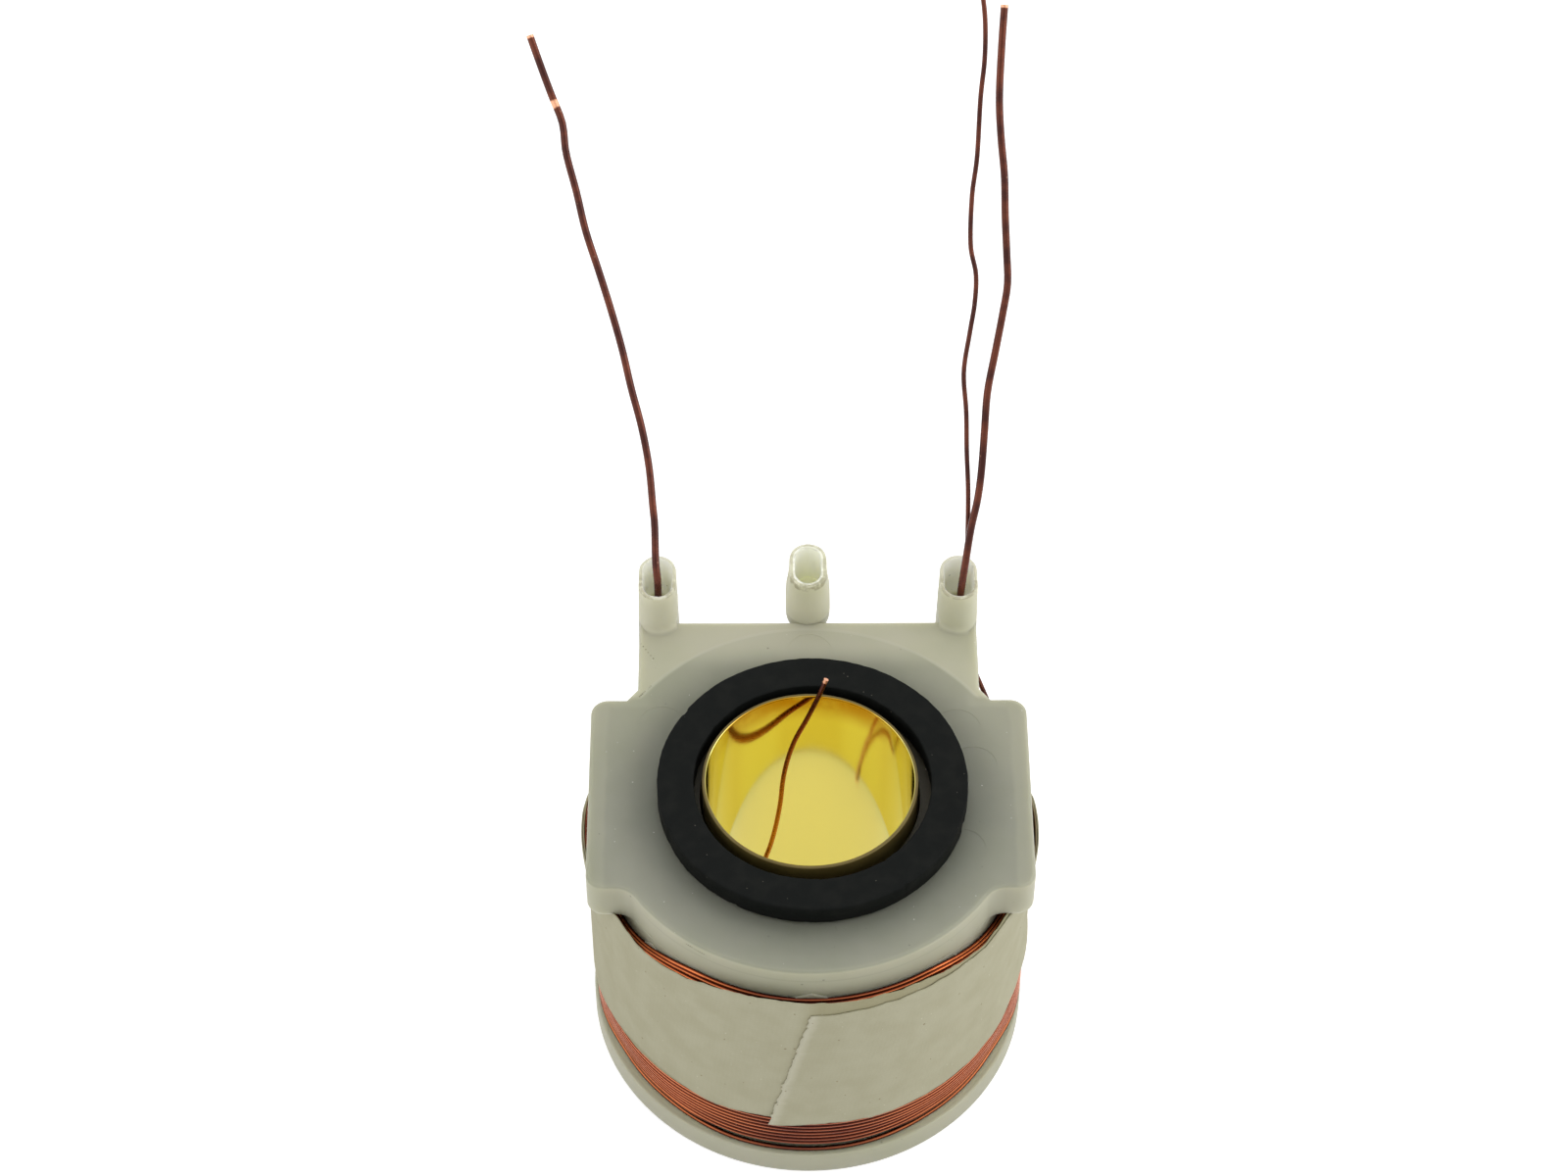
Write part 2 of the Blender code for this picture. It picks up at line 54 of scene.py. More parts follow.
sleeve_low, sleeve_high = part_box("brass_sleeve")
bore = (sleeve_low + sleeve_high) / 2
bore.z = 0
camera_data = bpy.data.cameras.new("camera")
camera_data.lens = CAMERA_LENS
camera_data.sensor_width = 36
camera_data.sensor_fit = 'HORIZONTAL'
camera_data.clip_start = 10 * MM
camera = bpy.data.objects.new("camera", camera_data)
bpy.context.scene.collection.objects.link(camera)
camera.matrix_world = (
    Matrix.Translation(bore + Vector(CAMERA_PLACE) * MM)
    @ Matrix.Rotation(math.radians(CAMERA_HEADING), 4, 'Z')
    @ Matrix.Rotation(math.radians(90 - CAMERA_TILT), 4, 'X')
    @ Matrix.Rotation(math.radians(CAMERA_ROLL), 4, 'Z')
)
bpy.context.scene.camera = camera

# Leads. They are the ends of the two windings, solid enamelled copper wire that
# holds the shape it was bent to. Three stand out of the two end posts, and the
# fourth comes up through the bore from under the base flange.
THICK_WIRE = 0.84 * MM
THIN_WIRE = 0.54 * MM
BARE_COPPER = (0.85, 0.42, 0.25)
LEAD_SPACING = 1.1
ROUTE_PARTS = 24
LEFT_NICK = (-27.4, 64.4, 76.2)
LEFT_THICK_ROUTE = [
    (-9.6, 14.8, 32.95), (-11.8, 18.1, 32.95), (-14.4, 21.9, 33.0), (-15.9, 23.8, 33.3),
    (-16.5, 24.5, 34.9), (-16.5, 24.5, 37.2), (-16.4, 24.2, 40.0), (-16.4, 24.6, 42.9),
    (-16.6, 26.1, 44.4), (-16.7, 29.3, 46.8), (-16.9, 30.9, 48.2), (-17.3, 34.2, 50.9),
    (-18.1, 37.5, 53.7), (-19.2, 40.7, 56.4), (-20.2, 44.0, 59.2), (-21.4, 47.3, 61.9),
    (-22.7, 50.5, 64.6), (-24.1, 53.8, 67.4), (-25.1, 57.1, 70.1), (-26.2, 60.3, 72.8),
    (-26.6, 62.8, 74.9), (-27.8, 65.2, 76.9), (-29.0, 67.7, 79.0), (-30.1, 70.1, 81.0),
]
RIGHT_THICK_ROUTE = [
    (9.6, 14.8, 32.95), (11.8, 18.1, 32.95), (14.4, 21.9, 33.0), (15.9, 23.8, 33.3),
    (16.5, 24.4, 34.9), (16.5, 24.3, 37.2), (16.6, 24.0, 40.0), (16.7, 24.1, 42.4),
    (17.1, 25.8, 44.4), (17.7, 28.4, 47.2), (18.4, 30.6, 49.5), (18.8, 32.7, 51.9),
    (19.1, 35.6, 55.0), (19.4, 38.5, 58.1), (20.2, 41.4, 61.2), (21.0, 44.3, 64.3),
    (21.5, 46.5, 66.6), (21.4, 48.6, 68.9), (21.2, 51.5, 72.0), (21.1, 54.4, 75.0),
    (20.7, 57.2, 78.1), (20.5, 60.0, 81.1), (20.7, 63.6, 84.9), (21.0, 66.8, 88.3),
]
RIGHT_THIN_ROUTE = [
    (23.0, 7.2, 31.3), (21.6, 11.4, 31.3), (20.3, 15.3, 31.3), (19.1, 19.2, 31.3),
    (18.0, 22.8, 31.3), (17.2, 25.2, 32.1), (16.9, 26.2, 34.4), (16.9, 26.3, 38.0),
    (17.0, 26.3, 41.6), (17.3, 27.0, 43.8), (17.4, 29.0, 46.3), (17.4, 31.7, 49.8),
    (17.2, 34.3, 53.3), (17.1, 36.9, 56.7), (16.8, 39.6, 60.1), (17.4, 42.2, 63.5),
    (17.9, 44.2, 66.0), (18.0, 46.1, 68.5), (17.4, 48.1, 71.0), (17.5, 51.3, 75.1),
    (18.0, 53.9, 78.4), (18.3, 57.7, 83.3), (18.7, 60.3, 86.6), (18.7, 62.8, 89.8),
    (18.3, 65.0, 92.6),
]
BORE_THIN_ROUTE = [
    (-19.6, -1.9, 3.35), (-19.55, -1.89, 1.9), (-19.2, -1.85, 0.85), (-18.2, -1.75, 0.5),
    (-16.0, -1.54, 0.55), (-12.5, -1.2, 0.57), (-10.6, -1.02, 0.75), (-9.6, -0.9, 2.0),
    (-8.6, 0.1, 5.3), (-6.8, 2.2, 11.6), (-4.9, 4.3, 18.6), (-4.2, 5.0, 20.8),
    (-3.6, 5.7, 23.5), (-3.1, 6.6, 26.6), (-2.8, 7.5, 29.7), (-2.3, 8.3, 32.3),
    (-1.5, 9.0, 34.9), (-0.3, 9.7, 37.5), (0.9, 10.4, 40.4), (1.8, 11.2, 42.7),
]


def on_coil(point):
    """A place on the coil in millimetres, as a place in the model."""
    return bore + Vector(point) * MM


def smooth_route(route, spacing):
    """Evenly spaced points on a smooth curve through the route's points."""
    anchors = [on_coil(point) for point in route]
    anchors = [2 * anchors[0] - anchors[1]] + anchors + [2 * anchors[-1] - anchors[-2]]
    fine = []
    for a, b, c, d in zip(anchors, anchors[1:], anchors[2:], anchors[3:]):
        for i in range(ROUTE_PARTS):
            t = i / ROUTE_PARTS
            bend = (2 * a - 5 * b + 4 * c - d) * t + (3 * b - a - 3 * c + d) * t * t
            fine.append(b + 0.5 * t * ((c - a) + bend))
    fine.append(anchors[-2])
    travelled = [0.0]
    for a, b in zip(fine, fine[1:]):
        travelled.append(travelled[-1] + (b - a).length)
    count = max(2, round(travelled[-1] / spacing))
    points = []
    k = 0
    for i in range(count + 1):
        goal = travelled[-1] * i / count
        while k < len(fine) - 2 and travelled[k + 1] < goal:
            k += 1
        share = (goal - travelled[k]) / (travelled[k + 1] - travelled[k])
        points.append(fine[k].lerp(fine[k + 1], min(max(share, 0.0), 1.0)))
    return points, travelled[-1]


def add_node(tree, kind, inputs=None, **settings):
    """A shader node, with its sockets linked or set."""
    made = tree.nodes.new(kind)
    for name, value in settings.items():
        setattr(made, name, value)
    for key, value in (inputs or {}).items():
        if isinstance(value, bpy.types.NodeSocket):
            tree.links.new(value, made.inputs[key])
        else:
            made.inputs[key].default_value = value
    return made


def calculate(tree, operation, first, second=0.0, third=0.0):
    """A Math node's result."""
    inputs = {0: first, 1: second, 2: third}
    return add_node(tree, 'ShaderNodeMath', inputs, operation=operation).outputs[0]


def meet(tree, mask, *others):
    """A mask where all the masks meet. A number among them is a share."""
    for other in others:
        mask = calculate(tree, 'MULTIPLY', mask, other)
    return mask


def either(tree, first, second):
    """A mask that covers what two masks cover."""
    return calculate(tree, 'MAXIMUM', first, second)


def step_up(tree, value, low, high):
    """A mask that rises smoothly from 0 at low to 1 at high."""
    inputs = {'Value': value, 'From Min': low, 'From Max': high}
    ramp = add_node(tree, 'ShaderNodeMapRange', inputs, interpolation_type='SMOOTHSTEP')
    return ramp.outputs['Result']


def blend_colour(tree, share, first, second, blend_type='MIX'):
    """A mix of two colours, which may be sockets or plain values."""
    mix = add_node(tree, 'ShaderNodeMix', {0: share}, data_type='RGBA', blend_type=blend_type)
    for key, value in ((6, first), (7, second)):
        if isinstance(value, bpy.types.NodeSocket):
            tree.links.new(value, mix.inputs[key])
        else:
            mix.inputs[key].default_value = (*value, 1.0)
    return mix.outputs[2]


def coil_place(tree):
    """Places on the coil in millimetres from the foot of the bore's axis."""
    source = add_node(tree, 'ShaderNodeTexCoord')
    inputs = {
        'Vector': source.outputs['Object'],
        'Location': (-bore.x / MM, -bore.y / MM, 0),
        'Scale': (1 / MM, 1 / MM, 1 / MM),
    }
    return add_node(tree, 'ShaderNodeMapping', inputs).outputs['Vector']


def place_along(tree, place, axis):
    """One of a place's three values: X to the right, Y to the back, Z up."""
    return add_node(tree, 'ShaderNodeSeparateXYZ', {0: place}).outputs[axis]


def near_point(tree, place, point, inner, outer):
    """A mask round a point, 1 within inner and 0 beyond outer."""
    distance = add_node(tree, 'ShaderNodeVectorMath', {0: place, 1: point}, operation='DISTANCE')
    return step_up(tree, distance.outputs['Value'], outer, inner)


def noise_value(tree, place, scale, detail):
    """Soft noise between 0 and 1."""
    inputs = {'Vector': place, 'Scale': scale, 'Detail': detail}
    return add_node(tree, 'ShaderNodeTexNoise', inputs).outputs['Fac']


def new_material(name, **values):
    """A material with its shader, and the values that hold all over it."""
    material = bpy.data.materials.new(name)
    material.use_nodes = True
    tree = material.node_tree
    shader = tree.nodes["Principled BSDF"]
    for key, value in values.items():
        shader.inputs[key.replace('_', ' ')].default_value = value
    return material, tree, shader


def vary_roughness(tree, shader, value, low, high):
    """Roughness that runs from low to high as a value goes from 0 to 1."""
    ramp = add_node(tree, 'ShaderNodeMapRange', {'Value': value, 'To Min': low, 'To Max': high})
    tree.links.new(ramp.outputs['Result'], shader.inputs['Roughness'])


def add_bump(tree, shader, height, strength, distance):
    """Small relief on a surface."""
    inputs = {'Height': height, 'Strength': strength, 'Distance': distance * MM}
    bump = add_node(tree, 'ShaderNodeBump', inputs)
    tree.links.new(bump.outputs['Normal'], shader.inputs['Normal'])


def speck_group():
    """Shared effect: sparse specks of dust and dirt of uneven size."""
    group = bpy.data.node_groups.new("specks", 'ShaderNodeTree')
    group.interface.new_socket(name="Place", in_out='INPUT', socket_type='NodeSocketVector')
    for name in ("Scale", "Size", "Share"):
        group.interface.new_socket(name=name, in_out='INPUT', socket_type='NodeSocketFloat')
    group.interface.new_socket(name="Mask", in_out='OUTPUT', socket_type='NodeSocketFloat')
    given = add_node(group, 'NodeGroupInput')
    cells = add_node(group, 'ShaderNodeTexVoronoi', {
        'Vector': given.outputs['Place'],
        'Scale': given.outputs['Scale'],
        'Randomness': 1.0,
    })
    tint = add_node(group, 'ShaderNodeSeparateColor', {'Color': cells.outputs['Color']})
    kept = calculate(group, 'LESS_THAN', tint.outputs['Red'], given.outputs['Share'])
    reach = calculate(group, 'MULTIPLY', given.outputs['Size'], tint.outputs['Green'])
    inside = calculate(group, 'LESS_THAN', cells.outputs['Distance'], reach)
    add_node(group, 'NodeGroupOutput', {'Mask': meet(group, kept, inside)})
    return group


specks = speck_group()


def speck_mask(tree, place, scale, size, share):
    """The shared specks, with this material's own values."""
    inputs = {'Place': place, 'Scale': scale, 'Size': size, 'Share': share}
    return add_node(tree, 'ShaderNodeGroup', inputs, node_tree=specks).outputs['Mask']


def speckled(tree, place, colour, tint, strength, scale, size, share):
    """A colour with specks of another tint on it."""
    mask = meet(tree, speck_mask(tree, place, scale, size, share), strength)
    return blend_colour(tree, mask, colour, tint)


def wire_enamel(name, tip, nick=None, lit_foot=False):
    """Dark red-brown enamel on copper, with the cut end bare.

    In the bore the brass round it lights the enamel to a brown orange.
    """
    material, tree, shader = new_material(
        name, Metallic=0.85, Coat_Weight=0.2, Coat_Roughness=0.08, Coat_IOR=1.55,
    )
    place = coil_place(tree)
    streaks = step_up(tree, noise_value(tree, place, 0.35, 3.0), 0.35, 0.65)
    enamel = blend_colour(tree, streaks, (0.05, 0.011, 0.007), (0.13, 0.032, 0.015))
    if lit_foot:
        height = place_along(tree, place, 'Z')
        deep = step_up(tree, height, 37.0, 24.0)
        warmer = blend_colour(tree, deep, (0.38, 0.085, 0.025), (0.7, 0.26, 0.05))
        enamel = blend_colour(tree, step_up(tree, height, 41.0, 36.0), enamel, warmer)
    enamel = speckled(tree, place, enamel, (0.25, 0.13, 0.08), 0.5, 2.2, 0.3, 0.12)
    bare = near_point(tree, place, tip, 0.46, 0.56)
    if nick:
        bare = either(tree, bare, near_point(tree, place, nick, 0.5, 0.7))
    colour = blend_colour(tree, bare, enamel, BARE_COPPER)
    tree.links.new(colour, shader.inputs['Base Color'])
    vary_roughness(tree, shader, noise_value(tree, place, 2.5, 2.0), 0.2, 0.36)
    add_bump(tree, shader, noise_value(tree, place, 1.1, 2.0), 0.35, 0.05)
    return material


def make_lead(name, route, wire, nick=None, lit_foot=False):
    """A bare-ended lead as a free cord along its route."""
    points, length = smooth_route(route, LEAD_SPACING * wire)
    data = bpy.data.curves.new(name + "_wire", 'CURVE')
    data.dimensions = '3D'
    data.bevel_depth = wire / 2
    data.bevel_resolution = 5
    data.use_fill_caps = True
    spline = data.splines.new('POLY')
    spline.points.add(len(points) - 1)
    for knot, point in zip(spline.points, points):
        knot.co = (*point, 1.0)
    data.materials.append(wire_enamel(name + "_enamel", route[-1], nick, lit_foot))
    lead = bpy.data.objects.new(name + "_wire", data)
    bpy.context.scene.collection.objects.link(lead)
    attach(lead, "root")
    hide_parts(name)


make_lead("left_thick_lead", LEFT_THICK_ROUTE, THICK_WIRE, nick=LEFT_NICK)
make_lead("right_thick_lead", RIGHT_THICK_ROUTE, THICK_WIRE)
make_lead("right_thin_lead", RIGHT_THIN_ROUTE, THIN_WIRE)
make_lead("bore_thin_lead", BORE_THIN_ROUTE, THIN_WIRE, lit_foot=True)

# Bobbin. One injection moulding of natural nylon: a hub with a round base
# flange, a thick head with two square ears and a straight tail, and three
# hollow posts that guide the wires.
BOBBIN_HEIGHT = 37.2 * MM
HUB_BORE = 23.4 * MM
HUB_WALL = 1.3 * MM
BASE_DIAMETER = 48.0 * MM
BASE_THICKNESS = 3.4 * MM
BASE_EDGE = 0.35 * MM
HEAD_DIAMETER = 44.8 * MM
HEAD_THICKNESS = 5.0 * MM
HEAD_EDGE = 0.38 * MM
HEAD_UNDER_EDGE = 0.12 * MM
EAR_SPAN = 47.0 * MM
EAR_FRONT = 11.8 * MM
EAR_BACK = 12.8 * MM
EAR_CORNER = 1.8 * MM
EAR_ROOT = 2.6 * MM
LIP_START = 30
LIP_END = 58
LIP_DROP = 2.1 * MM
LIP_INSET = 0.4 * MM
LIP_RISE = 0.25 * MM
LIP_DEPTH = 0.84 * MM
LIP_HEIGHT = 0.4 * MM
TAIL_WIDTH = 37.0 * MM
TAIL_REACH = 23.5 * MM
TAIL_CORNER = 0.6 * MM
TAIL_CHAMFER = (1.2 * MM, 1.5 * MM)
POST_WIDTH = 4.1 * MM
POST_DEPTH = 6.2 * MM
POST_WALL = 0.65 * MM
POST_LAP = 1.3 * MM
POST_FOOT_STEP = 0.4 * MM
POST_FILLET = 0.9 * MM
POST_STEPS = 24
END_POST_HEIGHT = 5.5 * MM
MIDDLE_POST_HEIGHT = 6.05 * MM
MIDDLE_POST_SWELL = 0.38 * MM
MIDDLE_POST_LAP = 0.1 * MM
MIDDLE_POST_FOOT = 2.0 * MM
MIDDLE_BORE_DEPTH = 4.8 * MM
WEB_WIDTH = 3.8 * MM
WEB_REACH = 3.4 * MM
WEB_ROOT = 1.0 * MM
SLOT_START = 18.34 * MM
SLOT_ROOM = 1.0 * MM
SLOT_TURN = 33
CHANNEL_START = 10.6 * MM
CHANNEL_HEIGHT = 1.14 * MM
CHANNEL_TURN = 5.5
LEAD_HOLE_PLACE = 19.64 * MM
LEAD_HOLE_RADIUS = 1.0 * MM
EJECTOR_MARK = 2.5 * MM
EJECTOR_DEPTH = 0.03 * MM
EJECTOR_PLACES = [(0.1, 19.2), (0.2, -17.7), (-15.9, 9.3), (15.9, 8.8), (17.5, 3.8), (15.9, -7.0)]
FLASH_INSET = 0.12 * MM
FLASH_DEPTH = 0.6 * MM
FLASH_PLACES = [(0, 4.2, 0.9, 32.5), (-47.5, 2.4, 0.8, 31.0), (42, 1.3, 0.5, 31.4)]
BEYOND = 2 * MM
underside = BOBBIN_HEIGHT - HEAD_THICKNESS
post_reach = (POST_DEPTH - POST_WIDTH) / 2
end_post_x = TAIL_WIDTH / 2 - POST_WIDTH / 2
end_post_y = TAIL_REACH - POST_LAP + POST_DEPTH / 2
middle_post_y = TAIL_REACH - MIDDLE_POST_LAP + POST_DEPTH / 2


def ease(value, low, high):
    """Smooth step from 0 at low to 1 at high."""
    share = min(max((value - low) / (high - low), 0.0), 1.0)
    return share * share * (3 - 2 * share)


def azimuth_of(place):
    """A place's angle round the bore in degrees, 0 in front and rising to the right."""
    return math.degrees(math.atan2(place.x, -place.y))


def line_to(bm, last, place):
    """Draw a straight edge on from the last vertex."""
    added = bmesh.ops.extrude_vert_indiv(bm, verts=[last])["verts"][0]
    added.co = place
    return added


def arc_about(bm, last, centre, degrees, steps):
    """Draw an arc on from the last vertex, round a centre."""
    swept = bmesh.ops.spin(
        bm, geom=[last], cent=centre, axis=(0, 0, 1), angle=math.radians(degrees), steps=steps,
    )
    return next(item for item in swept["geom_last"] if isinstance(item, bmesh.types.BMVert))


def new_object(name, bm, smooth_angle=35):
    """Turn a bmesh into an object, still measured from the bore's foot."""
    bmesh.ops.recalc_face_normals(bm, faces=bm.faces)
    mesh = bpy.data.meshes.new(name)
    bm.to_mesh(mesh)
    bm.free()
    mesh.shade_smooth()
    mesh.set_sharp_from_angle(angle=math.radians(smooth_angle))
    made = bpy.data.objects.new(name, mesh)
    bpy.context.scene.collection.objects.link(made)
    return made


def settle(piece):
    """Apply a piece's modifiers to its mesh."""
    graph = bpy.context.evaluated_depsgraph_get()
    mesh = bpy.data.meshes.new_from_object(piece.evaluated_get(graph))
    piece.modifiers.clear()
    piece.data = mesh


def combine(piece, tools, operation):
    """Join helper shapes to a piece, or cut them out of it."""
    for tool in tools:
        step = piece.modifiers.new(tool.name, 'BOOLEAN')
        step.operation = operation
        step.solver = 'EXACT'
        step.object = tool
    settle(piece)
    for tool in tools:
        bpy.data.objects.remove(tool, do_unlink=True)


def place_piece(piece, slot, *nodes):
    """Move a finished mesh to its place, and hide the model's parts that it stands for."""
    piece.data.transform(Matrix.Translation(bore))
    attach(piece, "root")
    if nodes:
        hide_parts(*nodes)


def turned(name, profile, steps, smooth_angle):
    """Spin a closed profile of (radius, height) points round the bore's axis."""
    bm = bmesh.new()
    points = [bm.verts.new((0, -radius, height)) for radius, height in profile]
    sides = [bm.edges.new(pair) for pair in zip(points, points[1:] + points[:1])]
    bmesh.ops.spin(
        bm, geom=points + sides, cent=(0, 0, 0), axis=(0, 0, 1), angle=math.radians(360),
        steps=steps, use_merge=True,
    )
    bmesh.ops.remove_doubles(bm, verts=bm.verts, dist=0.001 * MM)
    return new_object(name, bm, smooth_angle)


def head_plate():
    """The head, drawn as half an outline, mirrored, thickened and rounded."""
    bm = bmesh.new()
    radius = HEAD_DIAMETER / 2
    span = EAR_SPAN / 2
    tail = TAIL_WIDTH / 2
    root_y = EAR_FRONT + EAR_ROOT
    root_x = math.sqrt((radius + EAR_ROOT) ** 2 - root_y ** 2)
    root_angle = math.degrees(math.atan2(root_x, root_y))
    last = bm.verts.new((0, -radius, underside))
    last = arc_about(bm, last, (0, 0, underside), root_angle, 48)
    last = arc_about(bm, last, (root_x, -root_y, underside), -root_angle, 6)
    last = line_to(bm, last, (span - EAR_CORNER, -EAR_FRONT, underside))
    last = arc_about(bm, last, (span - EAR_CORNER, EAR_CORNER - EAR_FRONT, underside), 90, 12)
    last = line_to(bm, last, (span, EAR_BACK - EAR_CORNER, underside))
    last = arc_about(bm, last, (span - EAR_CORNER, EAR_BACK - EAR_CORNER, underside), 90, 12)
    last = line_to(bm, last, (tail + TAIL_CHAMFER[0], EAR_BACK, underside))
    last = line_to(bm, last, (tail, EAR_BACK + TAIL_CHAMFER[1], underside))
    last = line_to(bm, last, (tail, TAIL_REACH - TAIL_CORNER, underside))
    last = arc_about(bm, last, (tail - TAIL_CORNER, TAIL_REACH - TAIL_CORNER, underside), 90, 6)
    line_to(bm, last, (0, TAIL_REACH, underside))
    bmesh.ops.mirror(bm, geom=bm.verts[:] + bm.edges[:], axis='X', merge_dist=0.001 * MM)
    bmesh.ops.remove_doubles(bm, verts=bm.verts, dist=0.001 * MM)
    bottom = bmesh.ops.contextual_create(bm, geom=bm.edges[:])["faces"]
    raised = bmesh.ops.extrude_face_region(bm, geom=bottom, use_keep_orig=True)["geom"]
    upper = [item for item in raised if isinstance(item, bmesh.types.BMVert)]
    bmesh.ops.translate(bm, verts=upper, vec=(0, 0, HEAD_THICKNESS))
    for height, width, segments in ((BOBBIN_HEIGHT, HEAD_EDGE, 4), (underside, HEAD_UNDER_EDGE, 2)):
        rim = [
            edge for edge in bm.edges
            if all(abs(vert.co.z - height) < 0.01 * MM for vert in edge.verts)
        ]
        bmesh.ops.bevel(
            bm, geom=rim, offset=width, offset_type='OFFSET', segments=segments,
            profile=0.5, affect='EDGES', material=-1,
        )
    return new_object("bobbin_moulding", bm)


def raise_face(bm, face):
    """Extrude a form on from its end face, without the face that is covered."""
    covered = [face] if len(bm.faces) > 1 else []
    raised = bmesh.ops.extrude_face_region(bm, geom=[face], use_keep_orig=True)["geom"]
    bmesh.ops.delete(bm, geom=covered, context='FACES_ONLY')
    face = next(item for item in raised if isinstance(item, bmesh.types.BMFace))
    return face, [item for item in raised if isinstance(item, bmesh.types.BMVert)]


def column(name, stations, steps, centre=(0, 0), offset=0):
    """A solid round form from (radius, height) stations, from the bottom up."""
    bm = bmesh.new()
    middle = Vector(centre)
    put = Matrix.Translation((middle.x, middle.y, stations[0][1]))
    put = put @ Matrix.Rotation(offset * math.pi / steps, 4, 'Z')
    bmesh.ops.create_circle(bm, cap_ends=True, segments=steps, radius=stations[0][0], matrix=put)
    face = bm.faces[:][0]
    for radius, height in stations[1:]:
        face, ring = raise_face(bm, face)
        for vert in ring:
            spot = middle + (vert.co.xy - middle).normalized() * radius
            vert.co = (spot.x, spot.y, height)
    return new_object(name, bm)


def post_form(name, centre, stations):
    """An obround column from (height, growth) stations, about its centre.

    A growth may be a function of the place, for a fillet or an uneven rim.
    """
    bm = bmesh.new()
    x, y = centre
    height = stations[0][0]
    start = bm.verts.new((x - POST_WIDTH / 2, y - post_reach, height))
    last = arc_about(bm, start, (x, y - post_reach, height), 180, POST_STEPS)
    last = line_to(bm, last, (x + POST_WIDTH / 2, y + post_reach, height))
    last = arc_about(bm, last, (x, y + post_reach, height), 180, POST_STEPS)
    bm.edges.new((last, start))
    face = bmesh.ops.contextual_create(bm, geom=bm.edges[:])["faces"][0]
    ring = list(face.verts)
    for height, growth in stations:
        if height != stations[0][0]:
            face, ring = raise_face(bm, face)
        for vert in ring:
            spine = Vector((x, min(max(vert.co.y, y - post_reach), y + post_reach), 0))
            outward = (vert.co.xy - spine.xy).normalized()
            grown = growth(vert.co) if callable(growth) else growth
            reach = POST_WIDTH / 2 + grown
            vert.co = (spine.x + outward.x * reach, spine.y + outward.y * reach, height)
    return new_object(name, bm)


def over_tail(place):
    """How far a place is inside the tail's outline, as a share for fillets."""
    inside = min(TAIL_REACH - place.y, TAIL_WIDTH / 2 - abs(place.x))
    return ease(inside, 0, POST_FILLET)


def fillet_stations(foot_growth):
    """Stations of a soft fillet where a post stands on the tail."""
    stations = []
    for i in range(7):
        height = POST_FILLET * (i / 6) ** 1.4
        spread = POST_FILLET - math.sqrt(POST_FILLET ** 2 - (POST_FILLET - height) ** 2)
        growth = lambda place, spread=spread: foot_growth + spread * over_tail(place)
        stations.append((BOBBIN_HEIGHT - 0.02 * MM + height, growth))
    return stations


def channel(name, start, end, width, low, high):
    """A long box along a line seen from above."""
    bm = bmesh.new()
    along = Vector(end) - Vector(start)
    turn = Matrix.Rotation(math.atan2(along.y, along.x), 4, 'Z')
    size = Matrix.Diagonal((along.length, width, high - low, 1))
    middle = Vector(((start[0] + end[0]) / 2, (start[1] + end[1]) / 2, (low + high) / 2))
    bmesh.ops.create_cube(bm, size=1, matrix=Matrix.Translation(middle) @ turn @ size)
    return new_object(name, bm)


def flash_nib(name, azimuth, width, drop, height):
    """A burr of flash that hangs from the lower edge of the head's round wall."""
    bm = bmesh.new()
    side = width / math.sqrt(2)
    around = Matrix.Rotation(math.radians(azimuth), 4, 'Z')
    spot = Matrix.Translation((0, FLASH_INSET - HEAD_DIAMETER / 2, height))
    lozenge = Matrix.Diagonal((1, 1, drop / width * 2, 1)) @ Matrix.Rotation(math.radians(45), 4, 'Y')
    size = Matrix.Diagonal((side, FLASH_DEPTH, side, 1))
    bmesh.ops.create_cube(bm, size=1, matrix=around @ spot @ lozenge @ size)
    return new_object(name, bm)


def head_lip(name, sign):
    """The lower edge of the head's round wall, which hangs lower towards an ear."""
    bm = bmesh.new()
    start = LIP_START - 2
    sweep = LIP_END + 6 - start
    turn = Matrix.Rotation(math.radians(sign * start), 4, 'Z')
    spot = Matrix.Translation((0, LIP_INSET - HEAD_DIAMETER / 2, underside + LIP_RISE))
    upright = Matrix.Rotation(math.radians(90), 4, 'Y')
    size = Matrix.Diagonal((1, LIP_DEPTH, LIP_HEIGHT, 1))
    bmesh.ops.create_grid(bm, x_segments=1, y_segments=1, size=0.5, matrix=turn @ spot @ size @ upright)
    bmesh.ops.spin(
        bm, geom=bm.verts[:] + bm.edges[:] + bm.faces[:], cent=(0, 0, 0), axis=(0, 0, 1),
        angle=math.radians(sign * sweep), steps=48,
    )
    for vert in bm.verts:
        if vert.co.z < underside + LIP_RISE:
            azimuth = abs(azimuth_of(vert.co))
            ragged = 0.12 * MM * noise.noise(vert.co / MM * 1.3)
            ragged *= ease(azimuth, LIP_START, LIP_START + 8)
            vert.co.z += ragged - LIP_DROP * ease(azimuth, LIP_START, LIP_END)
    return new_object(name, bm)


bobbin = head_plate()
hub_radius = HUB_BORE / 2 + HUB_WALL
base_radius = BASE_DIAMETER / 2
joined = [column("hub_form", [
    (base_radius - BASE_EDGE, 0), (base_radius - 0.3 * BASE_EDGE, 0.3 * BASE_EDGE),
    (base_radius, BASE_EDGE), (base_radius, BASE_THICKNESS - BASE_EDGE),
    (base_radius - 0.3 * BASE_EDGE, BASE_THICKNESS - 0.3 * BASE_EDGE),
    (base_radius - BASE_EDGE, BASE_THICKNESS), (hub_radius + 0.4 * MM, BASE_THICKNESS),
    (hub_radius, BASE_THICKNESS + 0.4 * MM), (hub_radius, underside + HEAD_THICKNESS / 2),
], steps=192)]
joined += [head_lip("left_lip", -1), head_lip("right_lip", 1)]
for i, (azimuth, width, drop, height) in enumerate(FLASH_PLACES):
    joined.append(flash_nib("flash_%d" % i, azimuth, width * MM, drop * MM, height * MM))
